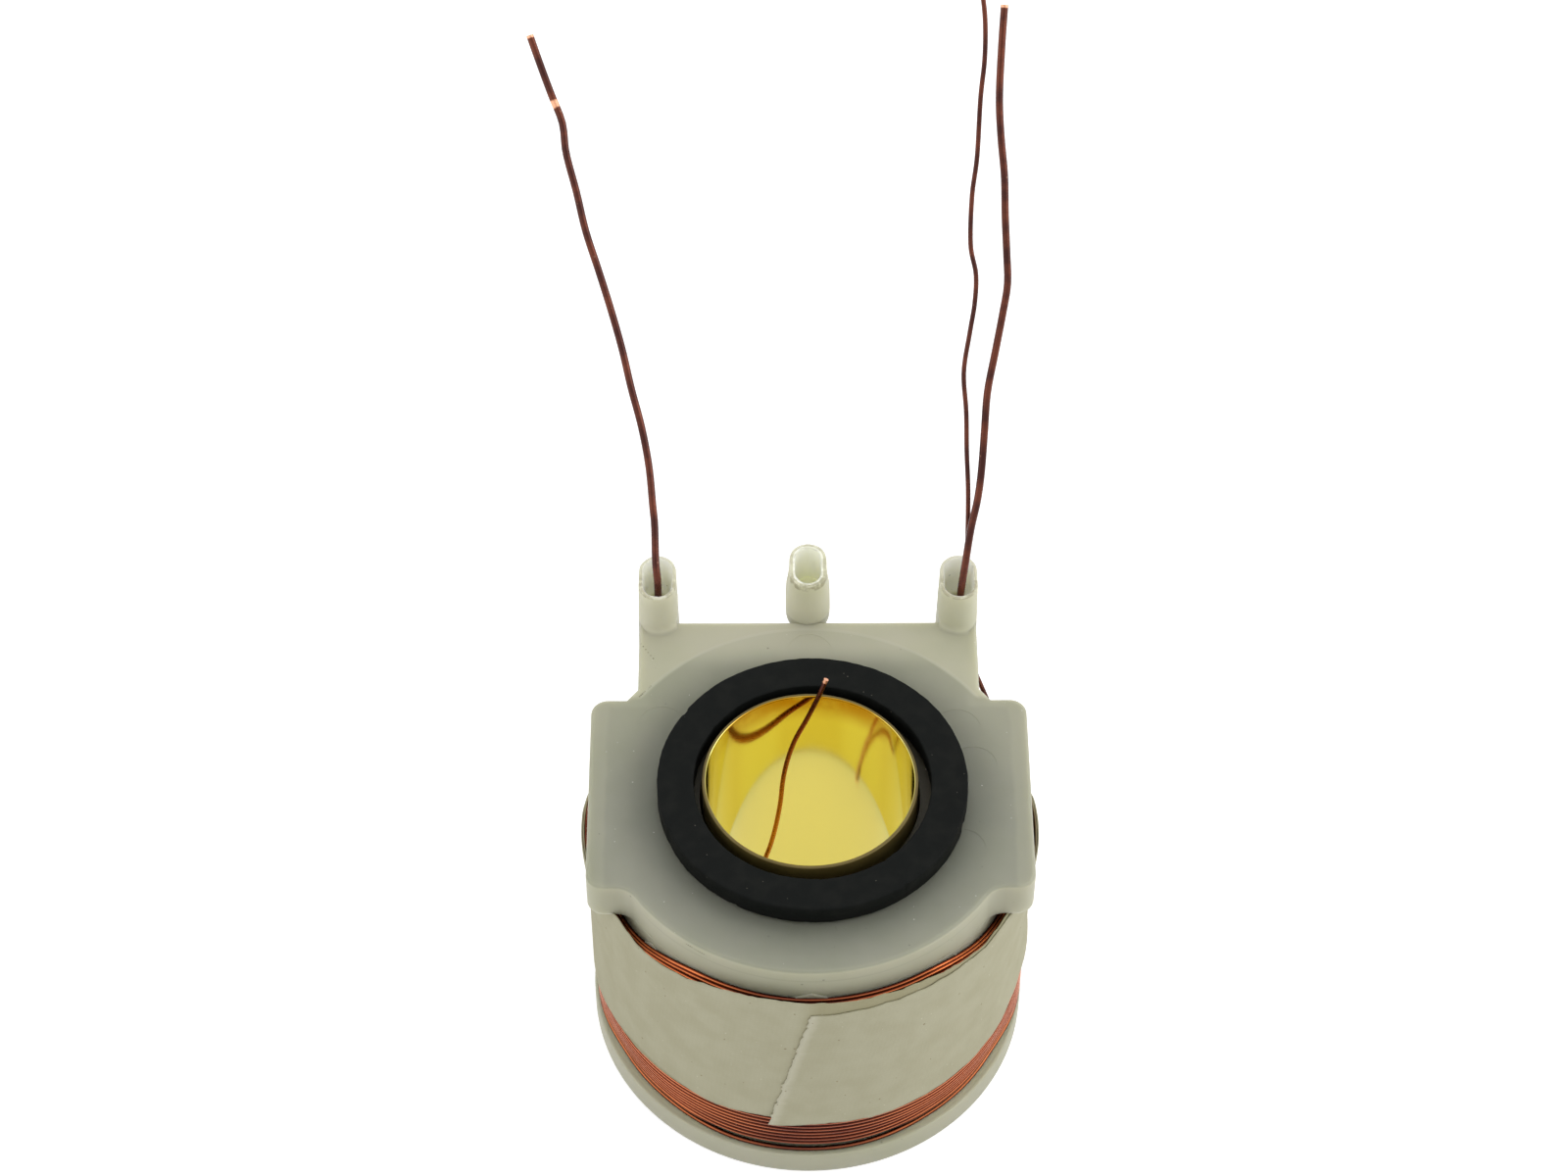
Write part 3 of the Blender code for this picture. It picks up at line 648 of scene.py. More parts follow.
cut_out = [column("bore_cutter", [
    (HUB_BORE / 2, -BEYOND), (HUB_BORE / 2, BOBBIN_HEIGHT + BEYOND),
], steps=192, offset=1)]
end_tip = BOBBIN_HEIGHT + END_POST_HEIGHT
for side, sign in (("left", -1), ("right", 1)):
    centre = (sign * end_post_x, end_post_y)
    stations = [(underside + POST_FOOT_STEP, 0.2 * MM)] + fillet_stations(0.1 * MM)
    stations += [
        (BOBBIN_HEIGHT + 2.5 * MM, 0.04 * MM), (end_tip - 0.3 * MM, 0), (end_tip, -0.06 * MM),
    ]
    joined.append(post_form(side + "_post_form", centre, stations))
    cut_out.append(post_form(side + "_post_bore", centre, [
        (underside - BEYOND, -POST_WALL), (end_tip - 2.2 * MM, -POST_WALL),
        (end_tip - 0.7 * MM, -0.8 * POST_WALL), (end_tip, -0.62 * POST_WALL),
        (end_tip + BEYOND, -0.2 * POST_WALL),
    ]))

middle_tip = BOBBIN_HEIGHT + MIDDLE_POST_HEIGHT
middle_foot = BOBBIN_HEIGHT - MIDDLE_POST_FOOT
middle_stations = []
for i in range(8):
    turn = math.pi / 2 * i / 7
    growth = -0.4 * MM + (0.4 * MM + MIDDLE_POST_SWELL) * math.sin(turn)
    middle_stations.append((middle_foot + 1.6 * MM * (1 - math.cos(turn)), growth))
middle_stations += [
    (BOBBIN_HEIGHT + share * MIDDLE_POST_HEIGHT, swell * MIDDLE_POST_SWELL)
    for share, swell in ((0.12, 1.0), (0.3, 0.85), (0.5, 0.4), (0.7, 0.1), (0.95, 0), (1.0, -0.15))
]
joined.append(post_form("middle_post_form", (0, middle_post_y), middle_stations))
cut_out.append(post_form("middle_post_bore", (0, middle_post_y), [
    (middle_tip - MIDDLE_BORE_DEPTH, -1.2 * POST_WALL),
    (middle_tip - MIDDLE_BORE_DEPTH + 0.4 * MM, -POST_WALL),
    (middle_tip, -0.95 * POST_WALL), (middle_tip + BEYOND, -0.9 * POST_WALL),
]))
joined.append(channel(
    "web_form", (0, TAIL_REACH - WEB_ROOT), (0, TAIL_REACH + WEB_REACH), WEB_WIDTH,
    underside + 2 * POST_FOOT_STEP, middle_foot + WEB_ROOT,
))

slot_width = THICK_WIRE + SLOT_ROOM
slot_start = SLOT_START - slot_width
slot_turn = math.radians(SLOT_TURN)
for side, sign in (("left", -1), ("right", 1)):
    cut_out.append(channel(
        side + "_lead_slot",
        (sign * slot_start * math.sin(slot_turn), slot_start * math.cos(slot_turn)),
        (sign * end_post_x, end_post_y - POST_WALL),
        slot_width, underside - BEYOND, underside + slot_width,
    ))
channel_turn = math.radians(CHANNEL_TURN)
outward = Vector((-math.cos(channel_turn), -math.sin(channel_turn)))
lead_hole = outward * LEAD_HOLE_PLACE
cut_out.append(channel(
    "base_channel", outward * CHANNEL_START, lead_hole, CHANNEL_HEIGHT, -0.8 * BEYOND, CHANNEL_HEIGHT,
))
cut_out.append(column("base_lead_hole", [
    (LEAD_HOLE_RADIUS, -0.6 * BEYOND), (LEAD_HOLE_RADIUS, BASE_THICKNESS + BEYOND),
], steps=36, centre=lead_hole))
for i, (x, y) in enumerate(EJECTOR_PLACES):
    cut_out.append(column("ejector_mark_%d" % i, [
        (EJECTOR_MARK, BOBBIN_HEIGHT - EJECTOR_DEPTH), (EJECTOR_MARK, BOBBIN_HEIGHT + BEYOND),
    ], steps=72, centre=(x * MM, y * MM)))
combine(bobbin, joined, 'UNION')
combine(bobbin, cut_out, 'DIFFERENCE')
for vert in bobbin.data.vertices:
    tip = middle_tip if abs(vert.co.x) < POST_WIDTH else end_tip
    if vert.co.z > tip - 0.1 * MM:
        vert.co.z += 0.1 * MM * noise.noise(vert.co / MM * 1.1)

MASK_SOFTNESS = 0.1


def within(tree, value, middle, reach):
    """A mask that is 1 where a value lies within a reach of its middle."""
    off = calculate(tree, 'ABSOLUTE', calculate(tree, 'SUBTRACT', value, middle))
    return step_up(tree, off, reach + MASK_SOFTNESS, reach - MASK_SOFTNESS)


def vector_length(tree, vector):
    """How long a vector is."""
    return add_node(tree, 'ShaderNodeVectorMath', {0: vector}, operation='LENGTH').outputs['Value']


def radius_of(tree, place):
    """How far a place is from the bore's axis."""
    inputs = {0: place, 1: (1, 1, 0)}
    flat = add_node(tree, 'ShaderNodeVectorMath', inputs, operation='MULTIPLY').outputs[0]
    return vector_length(tree, flat)


nylon, tree, shader = new_material(
    "natural_nylon", IOR=1.53, Specular_IOR_Level=0.25, Subsurface_Weight=0.85,
    Subsurface_Radius=(2.0, 1.95, 1.6), Subsurface_Scale=1.2 * MM,
)
place = coil_place(tree)
from_axis = radius_of(tree, place)
back = place_along(tree, place, 'Y')
height = place_along(tree, place, 'Z')
sideways = calculate(tree, 'ABSOLUTE', place_along(tree, place, 'X'))
# The top is painted dark beside the ring, as the shade round the ring, and grows paler towards its edges
# and the back, as painted light.
wavy = noise_value(tree, place, 0.22, 3.0)
outwards = calculate(tree, 'MULTIPLY_ADD', wavy, 1.6, from_axis)
clear = step_up(tree, outwards, 17.0, 23.6)
colour = blend_colour(tree, clear, (0.192, 0.197, 0.158), (0.3, 0.302, 0.24))
# Painted light: the back of the top is made lighter.
colour = blend_colour(tree, step_up(tree, back, -4.0, 13.0), colour, (1.12, 1.11, 1.06), 'MULTIPLY')
# Painted shadow: the top is made nearly black in the gap between the sleeve and the ring.
colour = blend_colour(tree, step_up(tree, from_axis, 13.4, 12.9), colour, (0.06, 0.052, 0.03))
# Painted light: a paler band along the ear edges, carrying on the painted gradient.
uneven = calculate(tree, 'MULTIPLY_ADD', wavy, 0.8, -0.4)
ear_edge = step_up(tree, calculate(tree, 'ADD', sideways, uneven), 21.3, 21.9)
ear_back = step_up(tree, calculate(tree, 'ADD', back, uneven), 11.5, 12.1)
ear_back = meet(tree, ear_back, step_up(tree, sideways, 16.6, 17.8))
border = either(tree, ear_edge, ear_back)
colour = blend_colour(tree, meet(tree, border, 0.3), colour, (0.42, 0.41, 0.31))
# Painted light: the tail and the back of the head are made paler.
behind = step_up(tree, back, 12.6, 13.4)
on_tail = meet(tree, step_up(tree, from_axis, 21.9, 22.7), behind)
on_tail = either(tree, on_tail, meet(tree, step_up(tree, back, 16.5, 20.5), 0.75))
colour = blend_colour(tree, on_tail, colour, (0.47, 0.457, 0.345))
rim_line = meet(tree, within(tree, from_axis, 22.4, 0.18), behind)
colour = blend_colour(tree, meet(tree, rim_line, 0.3), colour, (0.56, 0.55, 0.45))
# Its walls and posts are painted paler than the top, as painted light, and the light that gathers inside
# the hollow posts is painted there as a pale colour.
# Painted light: the walls below the top are made paler.
low_wall = step_up(tree, height, 37.1, 36.8)
colour = blend_colour(tree, low_wall, colour, (0.46, 0.45, 0.34))
# Painted shade: the tail's side walls are made darker.
shaded_tail_side = meet(
    tree, low_wall, step_up(tree, height, 24.0, 30.0), behind, step_up(tree, sideways, 17.6, 18.3),
)
colour = blend_colour(tree, shaded_tail_side, colour, (0.7, 0.7, 0.72), 'MULTIPLY')
lit_flange = meet(
    tree, step_up(tree, height, 3.6, 3.45), step_up(tree, height, 3.0, 3.3),
    step_up(tree, from_axis, 23.65, 23.3), step_up(tree, sideways, 8.0, 13.0),
)
colour = blend_colour(tree, lit_flange, colour, (0.58, 0.56, 0.41))
mould_line = meet(
    tree, low_wall, step_up(tree, back, -13.0, -15.0), within(tree, height, 35.5, 0.1), 0.2,
)
colour = blend_colour(tree, mould_line, colour, (0.25, 0.24, 0.17))
# Painted light: the posts are made paler than the top.
colour = blend_colour(tree, step_up(tree, height, 37.24, 37.5), colour, (0.58, 0.565, 0.43))
# Painted light: the inside of the hollow posts is made much paler.
bores = 0.0
for middle_x, middle_y in ((end_post_x / MM, end_post_y / MM), (0.0, middle_post_y / MM)):
    across = calculate(tree, 'SUBTRACT', sideways, middle_x)
    along = calculate(tree, 'ABSOLUTE', calculate(tree, 'SUBTRACT', back, middle_y))
    along = calculate(tree, 'MAXIMUM', calculate(tree, 'SUBTRACT', along, post_reach / MM), 0.0)
    from_spine = add_node(tree, 'ShaderNodeCombineXYZ', {0: across, 1: along}).outputs[0]
    bores = either(tree, bores, step_up(tree, vector_length(tree, from_spine), 1.72, 1.6))
bores = meet(tree, bores, step_up(tree, height, 36.4, 37.4))
colour = blend_colour(tree, bores, colour, (0.9, 0.9, 0.75))
ragged = step_up(tree, noise_value(tree, place, 1.1, 3.0), 0.38, 0.55)
end_rims = meet(tree, step_up(tree, height, 42.42, 42.6), step_up(tree, back, 26.2, 24.6))
middle_rim = meet(tree, step_up(tree, height, 43.02, 43.2), 0.6)
rims = meet(tree, either(tree, end_rims, middle_rim), ragged)
colour = blend_colour(tree, meet(tree, rims, 0.45), colour, (0.13, 0.105, 0.06))
# Handling has left a scratch, a row of dots and a few scuffs.
marks = 0.0
for start, end, dots, size in (
    ((-18.3, 13.2, 37.2), (-17.1, 14.6, 37.2), 9, 0.15),
    ((-18.6, 20.9, 37.2), (-16.9, 18.4, 37.2), 7, 0.13),
    ((-16.0, -16.3, 37.2), (-15.1, -17.0, 37.2), 6, 0.13),
    ((-12.9, -18.3, 36.4), (-10.9, -19.6, 36.2), 11, 0.15),
):
    for i in range(dots):
        spot = Vector(start).lerp(Vector(end), i / (dots - 1))
        marks = either(tree, marks, near_point(tree, place, spot, 0.3 * size, size))
smudged = meet(tree, marks, step_up(tree, noise_value(tree, place, 1.6, 3.0), 0.35, 0.6))
colour = blend_colour(tree, meet(tree, smudged, 0.7), colour, (0.09, 0.08, 0.06))
cloudy = noise_value(tree, place, 0.12, 4.0)
colour = blend_colour(tree, step_up(tree, cloudy, 0.3, 0.8), colour, (0.92, 0.94, 0.9), 'MULTIPLY')
scuffs = meet(tree, speck_mask(tree, place, 0.9, 0.14, 0.12), 0.5)
colour = blend_colour(tree, scuffs, colour, (0.16, 0.155, 0.13))
colour = speckled(tree, place, colour, (0.62, 0.62, 0.55), 0.5, 1.7, 0.14, 0.1)
tree.links.new(colour, shader.inputs['Base Color'])
vary_roughness(tree, shader, step_up(tree, height, 37.3, 38.2), 0.5, 0.95)
relief = calculate(tree, 'MULTIPLY_ADD', noise_value(tree, place, 0.6, 3.0), 1.0, scuffs)
add_bump(tree, shader, relief, 0.2, 0.05)
bobbin.data.materials.clear()
bobbin.data.materials.append(nylon)
bobbin.data.shade_smooth()
bobbin.data.set_sharp_from_angle(angle=math.radians(30))
weighted = bobbin.modifiers.new("even_normals", 'WEIGHTED_NORMAL')
weighted.keep_sharp = True
place_piece(bobbin, "nylon", "bobbin")

# Plunger sleeve. A thin drawn brass tube pressed into the bobbin, bright inside
# where the plunger slides and tarnished outside, its rim proud of the head.
SLEEVE_BORE = 22.0 * MM
SLEEVE_WALL = 0.4 * MM
SLEEVE_FOOT = 1.14 * MM
SLEEVE_TOP = 40.0 * MM
SLEEVE_EDGE = 0.12 * MM


def stretched(tree, place, scale):
    """A place with its three values scaled, so that a pattern runs in lines."""
    return add_node(tree, 'ShaderNodeMapping', {'Vector': place, 'Scale': scale}).outputs['Vector']


inner = SLEEVE_BORE / 2
outer = inner + SLEEVE_WALL
edge = SLEEVE_EDGE
sleeve = turned("plunger_sleeve", [
    (outer, SLEEVE_TOP - edge), (outer, SLEEVE_TOP - 2 * edge), (outer, SLEEVE_FOOT),
    (inner, SLEEVE_FOOT), (inner, SLEEVE_TOP - 2 * edge), (inner, SLEEVE_TOP - edge),
    (inner + 0.3 * edge, SLEEVE_TOP - 0.3 * edge), (inner + edge, SLEEVE_TOP),
    (outer - edge, SLEEVE_TOP), (outer - 0.3 * edge, SLEEVE_TOP - 0.3 * edge),
], steps=256, smooth_angle=50)
brass, tree, shader = new_material("polished_brass", Metallic=1.0)
place = coil_place(tree)
outside = step_up(tree, radius_of(tree, place), 11.05, 11.12)
near_rim = step_up(tree, place_along(tree, place, 'Z'), 35.5, 39.6)
at_back = step_up(tree, place_along(tree, place, 'Y'), 3.0, 10.0)
blotches = noise_value(tree, place, 0.45, 3.0)
# Painted reflection: dark orange blotches near the back of the rim stand for something dark reflected
# twice in the bore.
painted_back_reflection = meet(tree, near_rim, at_back, step_up(tree, blotches, -0.2, 0.6))
sideways = calculate(tree, 'ABSOLUTE', place_along(tree, place, 'X'))
inside = blend_colour(tree, step_up(tree, sideways, 7.0, 10.8), (0.88, 0.77, 0.2), (0.94, 0.87, 0.28))
inside = blend_colour(tree, painted_back_reflection, inside, (0.56, 0.28, 0.008))
tarnish = blend_colour(tree, blotches, (0.08, 0.056, 0.012), (0.17, 0.128, 0.035))
colour = blend_colour(tree, outside, inside, tarnish)
tree.links.new(colour, shader.inputs['Base Color'])
lines = noise_value(tree, stretched(tree, place, (0.2, 0.2, 9.0)), 1.0, 2.0)
rough = calculate(tree, 'MULTIPLY_ADD', lines, 0.05, 0.05)
rough = calculate(tree, 'MULTIPLY_ADD', outside, 0.4, rough)
tree.links.new(rough, shader.inputs['Roughness'])
tree.links.new(calculate(tree, 'MULTIPLY_ADD', outside, -0.55, 1.0), shader.inputs['Metallic'])
add_bump(tree, shader, lines, 0.08, 0.01)
sleeve.data.materials.append(brass)
place_piece(sleeve, "brass", "brass_sleeve")

# Windings. Two coils of enamelled copper wire fill the space between the
# flanges: thick pull-in wire on the hub, and thin hold-in wire over it. The
# outer turns show below the tape, under the ears and beside the head.
TURN_PITCH = 0.65 * MM
WINDING_FOOT = 3.7 * MM
WINDING_TOP = 31.9 * MM
HOLD_IN_OUTER = 23.5 * MM
HOLD_IN_INNER = 18.64 * MM
LOWER_TURNS = 16
UPPER_TURNS = 3
TOP_DIP = 1.9 * MM
FIRST_TURN = WINDING_FOOT + 1.15 * MM


def turn_points(first, count):
    """Round turns that lie side by side, from the bottom up, with grooves between."""
    points = []
    for i in range(count):
        middle = first + (i + 0.5) * TURN_PITCH
        for k in range(9):
            side = math.pi * k / 8
            radius = HOLD_IN_OUTER - THIN_WIRE / 2 * (1 - math.sin(side))
            points.append((radius, middle - THIN_WIRE / 2 * math.cos(side)))
        points.append((HOLD_IN_OUTER - 0.75 * THIN_WIRE, middle + TURN_PITCH / 2))
    return points


def mark_ridges(piece, ridge):
    """Give a piece its own UV, whose V is 1 along the ridges of its turns."""
    marks = [ridge(vert.co) for vert in piece.data.vertices]
    layer = piece.data.uv_layers.new(name="turns")
    for loop in piece.data.loops:
        layer.data[loop.index].uv = (0.5, marks[loop.vertex_index])


def right_swell(azimuth, height):
    """How much further the windings stand out low at the right side, as a share."""
    beside = ease(azimuth, 58, 84) * (1 - ease(azimuth, 100, 130))
    return beside * (1 - ease(height, 12 * MM, 18 * MM))


def under_ears(azimuth):
    """How far under the ears an angle round the bore is, as a share."""
    return 1 - ease(abs(abs(azimuth) - 90), 4, 30)


def settle_turns(piece):
    """Let the turns wander a little, sink at the sides and swell under the ears."""
    for vert in piece.data.vertices:
        place = vert.co
        azimuth = azimuth_of(place)
        row = math.floor((place.z - FIRST_TURN) / TURN_PITCH)
        sway = noise.noise(Vector((azimuth / 40, row * 1.7, 3.0)))
        at_side = ease(abs(azimuth + 4), 12, 42) * (1 - ease(abs(azimuth), 60, 80))
        low = 1 - ease(place.z, WINDING_FOOT + 0.5 * MM, WINDING_FOOT + 5.5 * MM)
        near_top = ease(place.z, WINDING_TOP - 8 * MM, WINDING_TOP)
        beside = under_ears(azimuth)
        swell = 0.15 * beside + 0.35 * beside * near_top + 0.3 * right_swell(azimuth, place.z)
        near_ear = ease(abs(azimuth), LIP_START, LIP_END) * (1 - ease(abs(azimuth), 66, 80))
        place.z -= TOP_DIP * near_ear * near_top
        if place.xy.length > HOLD_IN_OUTER - 1.0 * MM:
            place.z += sway * 0.04 * MM - at_side * low * 0.15 * MM
            scale = 1 + (sway * 0.05 - at_side * low * 0.45 + swell) * MM / HOLD_IN_OUTER
            place.x *= scale
            place.y *= scale


profile = turn_points(FIRST_TURN, LOWER_TURNS)
profile += turn_points(WINDING_TOP - UPPER_TURNS * TURN_PITCH, UPPER_TURNS)
profile += [
    (HOLD_IN_INNER, WINDING_TOP), (HOLD_IN_INNER, WINDING_FOOT), (HOLD_IN_OUTER - 1.4 * MM, WINDING_FOOT),
]
hold_in = turned("hold_in_turns", profile, steps=256, smooth_angle=60)
mark_ridges(hold_in, lambda place: (
    0.7 if place.z > WINDING_TOP - 0.05 * MM else 1 - (HOLD_IN_OUTER - place.xy.length) / (THIN_WIRE / 2)
))
settle_turns(hold_in)


def loose_turn(name, radius, height, sweep, drop, dip=0.0):
    """One turn of thin wire on its own, lower in front, its ends in the winding."""
    bm = bmesh.new()
    turn = Matrix.Rotation(math.radians(90), 4, 'X')
    heading = Matrix.Rotation(math.radians(90), 4, 'Z')
    start = Matrix.Rotation(math.radians(-sweep / 2), 4, 'Z')
    put = start @ Matrix.Translation((0, -radius, height)) @ heading @ turn
    bmesh.ops.create_circle(bm, cap_ends=True, segments=10, radius=THIN_WIRE / 2, matrix=put)
    bmesh.ops.spin(
        bm, geom=bm.verts[:] + bm.edges[:] + bm.faces[:], cent=(0, 0, 0), axis=(0, 0, 1),
        angle=math.radians(sweep), steps=round(sweep * 0.7), use_merge=sweep == 360,
    )
    bmesh.ops.remove_doubles(bm, verts=bm.verts, dist=0.001 * MM)
    piece = new_object(name, bm)
    # V is highest on the side that faces up and out at 53 degrees, where the painted highlight goes.
    lean = math.radians(53)
    mark_ridges(piece, lambda place: (
        (place.xy.length - radius) * math.cos(lean) + (place.z - height) * math.sin(lean)
    ) / (THIN_WIRE / 2))
    for vert in piece.data.vertices:
        azimuth = azimuth_of(vert.co)
        sway = noise.noise(Vector((azimuth / 30, radius / MM * 3, height / MM)))
        vert.co.z += sway * 0.08 * MM - drop * ease(abs(azimuth), LIP_START, LIP_END)
        vert.co.z -= dip * (1 - ease(abs(azimuth + 2), 5, 24))
    return piece


outermost = HOLD_IN_OUTER - THIN_WIRE / 2
last_turn = loose_turn("last_turn", outermost, BASE_THICKNESS + 0.6 * THIN_WIRE, 360, 0)
settle_turns(last_turn)
# The next turn lies deeper in front, so that a dark gap shows there.
deep_turn = loose_turn("deep_turn", outermost, FIRST_TURN - 0.35 * THIN_WIRE, 360, 0)
for vert in deep_turn.data.vertices:
    depth = 0.5 * MM * (1 - ease(abs(azimuth_of(vert.co) + 2), 12, 34))
    vert.co.xy *= 1 - depth / vert.co.xy.length
settle_turns(deep_turn)
squeezed = [
    loose_turn("squeezed_turn_a", 22.69 * MM, 32.5 * MM, 130, 2.2 * MM, 0.1 * MM),
    loose_turn("squeezed_turn_b", 23.0 * MM, 32.25 * MM, 128, 1.9 * MM, 0.1 * MM),
    loose_turn("squeezed_turn_c", 23.28 * MM, 31.85 * MM, 126, 1.5 * MM),
]


def winding_copper(name, ridges=True):
    """Glossy enamelled turns, painted dark in front and lighter orange at the sides, where the side lamps
    light them.
    """
    material, tree, shader = new_material(name, Metallic=0.92, Specular_IOR_Level=0.3)
    place = coil_place(tree)
    rows = noise_value(tree, stretched(tree, place, (0.12, 0.12, 1.54)), 1.0, 2.0)
    shade = step_up(tree, rows, 0.3, 0.7)
    sideways = calculate(tree, 'ABSOLUTE', place_along(tree, place, 'X'))
    # Painted light: the turns are made lighter and more orange towards the sides; the rows also vary at
    # random.
    at_side = meet(tree, step_up(tree, sideways, 2.0, 15.0), 0.7)
    side_light_and_rows = calculate(tree, 'MULTIPLY_ADD', shade, 0.3, at_side)
    colour = blend_colour(tree, side_light_and_rows, (0.05, 0.009, 0.006), (0.17, 0.032, 0.012))
    if ridges:
        own = add_node(tree, 'ShaderNodeUVMap', uv_map="turns").outputs['UV']
        ridge = place_along(tree, own, 'Y')
        crown_highlight = blend_colour(tree, side_light_and_rows, (0.2, 0.058, 0.036), (0.8, 0.25, 0.09))
        # Painted shade in the grooves between turns, and a painted highlight along each turn's crown.
        colour = blend_colour(tree, step_up(tree, ridge, 0.15, 0.8), (0.008, 0.0015, 0.001), colour)
        colour = blend_colour(tree, step_up(tree, ridge, 0.86, 0.98), colour, crown_highlight)
        # Painted light: the turns near the head are made brighter.
        lit_near_head = step_up(tree, place_along(tree, place, 'Z'), 24.0, 28.0)
        colour = blend_colour(tree, lit_near_head, colour, (1.4, 1.35, 1.25), 'MULTIPLY')
    colour = speckled(tree, place, colour, (0.3, 0.2, 0.14), 0.5, 2.0, 0.16, 0.05)
    tree.links.new(colour, shader.inputs['Base Color'])
    vary_roughness(tree, shader, noise_value(tree, place, 1.5, 2.0), 0.16, 0.34)
    add_bump(tree, shader, noise_value(tree, place, 1.2, 2.0), 0.15, 0.02)
    return material


thin_copper = winding_copper("thin_wire_copper")
for piece in [hold_in, last_turn, deep_turn] + squeezed:
    piece.data.materials.append(thin_copper)
    place_piece(piece, "copper", "hold_in_winding")
thick_copper = winding_copper("thick_wire_copper", ridges=False)
pull_in = bpy.data.objects["pull_in_winding"]
for i in range(len(pull_in.material_slots)):
    pull_in.material_slots[i].material = thick_copper

# Cloth tape. Off-white woven tape is wound twice round the windings and torn
# off in front. Its outer layer lies a little lower than the first one.
TAPE_WIDTH = 23.5 * MM
TAPE_LENGTH = 300 * MM
TAPE_THICKNESS = 0.14 * MM
TAPE_INNER = 23.64 * MM
TAPE_LAP_STEP = 0.2 * MM
TAPE_COLUMNS = 600
TAPE_ROWS = 60
TAPE_START = 712
THREAD_PITCH = 0.5 * MM
TOP_EDGE = [
    (712, 32.4), (690, 32.0), (670, 31.5), (645, 31.6), (610, 31.6), (590, 30.4), (480, 30.4),
    (455, 31.4), (424, 31.7), (420, 32.2), (414, 31.95), (409, 31.75), (402, 32.3), (396, 32.7),
    (390, 33.2), (378, 33.4), (360, 33.5), (353, 33.75), (343, 33.65), (333, 33.25), (326, 32.5),
    (317, 32.0), (311, 31.95), (306, 32.5), (302, 32.8), (296, 31.8), (270, 31.6),
    (250, 30.4), (110, 30.4), (92, 31.6), (66, 31.7), (58, 31.8), (49, 31.6), (42, 31.9), (24, 32.0),
    (11, 31.8), (4, 31.5), (-11, 31.4),
]
BOTTOM_EDGE = [
    (712, 10.6), (640, 10.4), (560, 10.4), (480, 12.2), (450, 14.5), (434, 14.3), (420, 11.8),
    (408, 11.2), (376, 10.9), (349, 10.9), (333, 10.5), (318, 11.4), (309, 11.7), (297, 10.9),
    (284, 9.8), (270, 9.7), (180, 9.8), (120, 11.6), (90, 14.0), (74, 14.0), (67, 12.8), (60, 11.5),
    (54, 11.2), (44, 10.9), (34, 10.6), (16, 10.2), (1, 10.3), (-11, 9.9),
]


def along_tape(points, angle):
    """Height of an edge at an angle round the coil, eased between points."""
    for (high, above), (low, below) in zip(points, points[1:]):
        if angle >= low:
            share = ease(min(angle, high), low, high)
            return below + (above - below) * share
    return points[-1][1]


def frayed(points, angle, size, row, waves):
    """Height of a frayed edge, with short threads and longer waves along it."""
    threads = 0.17 * noise.noise(Vector((angle * 1.1, row, 0)))
    longer = size * noise.noise(Vector((angle / waves[0], waves[1], 0)))
    return (along_tape(points, angle) + (threads + longer)) * MM


bm = bmesh.new()
bm.loops.layers.uv.new("tape")
bmesh.ops.create_grid(bm, x_segments=TAPE_COLUMNS, y_segments=TAPE_ROWS, size=1, calc_uvs=True)
half = max(vert.co.x for vert in bm.verts)
for vert in bm.verts:
    along = 0.5 + 0.5 * vert.co.x / half
    up = 0.5 + 0.5 * vert.co.y / half
    torn = -0.3 - 10.4 * (1 - up) + 0.6 * noise.noise(Vector((up * 15, 0, 5)))
    torn += 0.6 * noise.noise(Vector((up * 53, 3, 1)))
    angle = TAPE_START + (torn - TAPE_START) * along
    top = frayed(TOP_EDGE, angle, 0.18, 1, (4, 7))
    foot = frayed(BOTTOM_EDGE, angle, 0.14, 4, (5, 9))
    height = foot + (top - foot) * up
    azimuth = (angle + 180) % 360 - 180
    bulge = 0.5 * MM * under_ears(azimuth) * ease(height, top - 8 * MM, top)
    bulge += 0.3 * MM * right_swell(azimuth, height)
    ripple = 0.02 * MM * noise.noise(Vector((angle / 9, height / MM / 3, 2)))
    lift = 0.22 * MM * ease(angle, 5, torn) * ease(up, 0.25, 0.0)
    radius = TAPE_INNER + TAPE_LAP_STEP * (TAPE_START - angle) / 360 + bulge + ripple + lift
    turn = math.radians(angle)
    vert.co = (radius * math.sin(turn), -radius * math.cos(turn), height)
tape = new_object("cloth_tape_wrap", bm)
wall = tape.modifiers.new("cloth", 'SOLIDIFY')
wall.thickness = TAPE_THICKNESS
wall.offset = 0
cloth, tree, shader = new_material("woven_cotton", Roughness=0.85, Specular_IOR_Level=0.12)
place = coil_place(tree)
layout = add_node(tree, 'ShaderNodeUVMap', uv_map="tape").outputs['UV']
threads = stretched(tree, layout, (TAPE_LENGTH / THREAD_PITCH, TAPE_WIDTH / THREAD_PITCH, 1))
waves = {'Vector': threads, 'Scale': 0.314, 'Distortion': 0.6, 'Detail': 1.0}
warp = add_node(tree, 'ShaderNodeTexWave', waves, bands_direction='Y').outputs['Fac']
weft = add_node(tree, 'ShaderNodeTexWave', waves, bands_direction='X').outputs['Fac']
weave = meet(tree, calculate(tree, 'ADD', warp, weft), 0.5)
along = place_along(tree, layout, 'X')
outer_layer = step_up(tree, along, 0.49, 0.5)
cloudy = noise_value(tree, place, 0.3, 4.0)
colour = blend_colour(tree, outer_layer, (0.355, 0.33, 0.205), (0.43, 0.41, 0.285))
colour = blend_colour(tree, step_up(tree, cloudy, 0.3, 0.7), colour, (1.08, 1.09, 1.12), 'MULTIPLY')
colour = blend_colour(tree, meet(tree, weave, 0.12), colour, (0.82, 0.8, 0.74), 'MULTIPLY')
fuzz = step_up(tree, along, 0.9955, 0.9995)
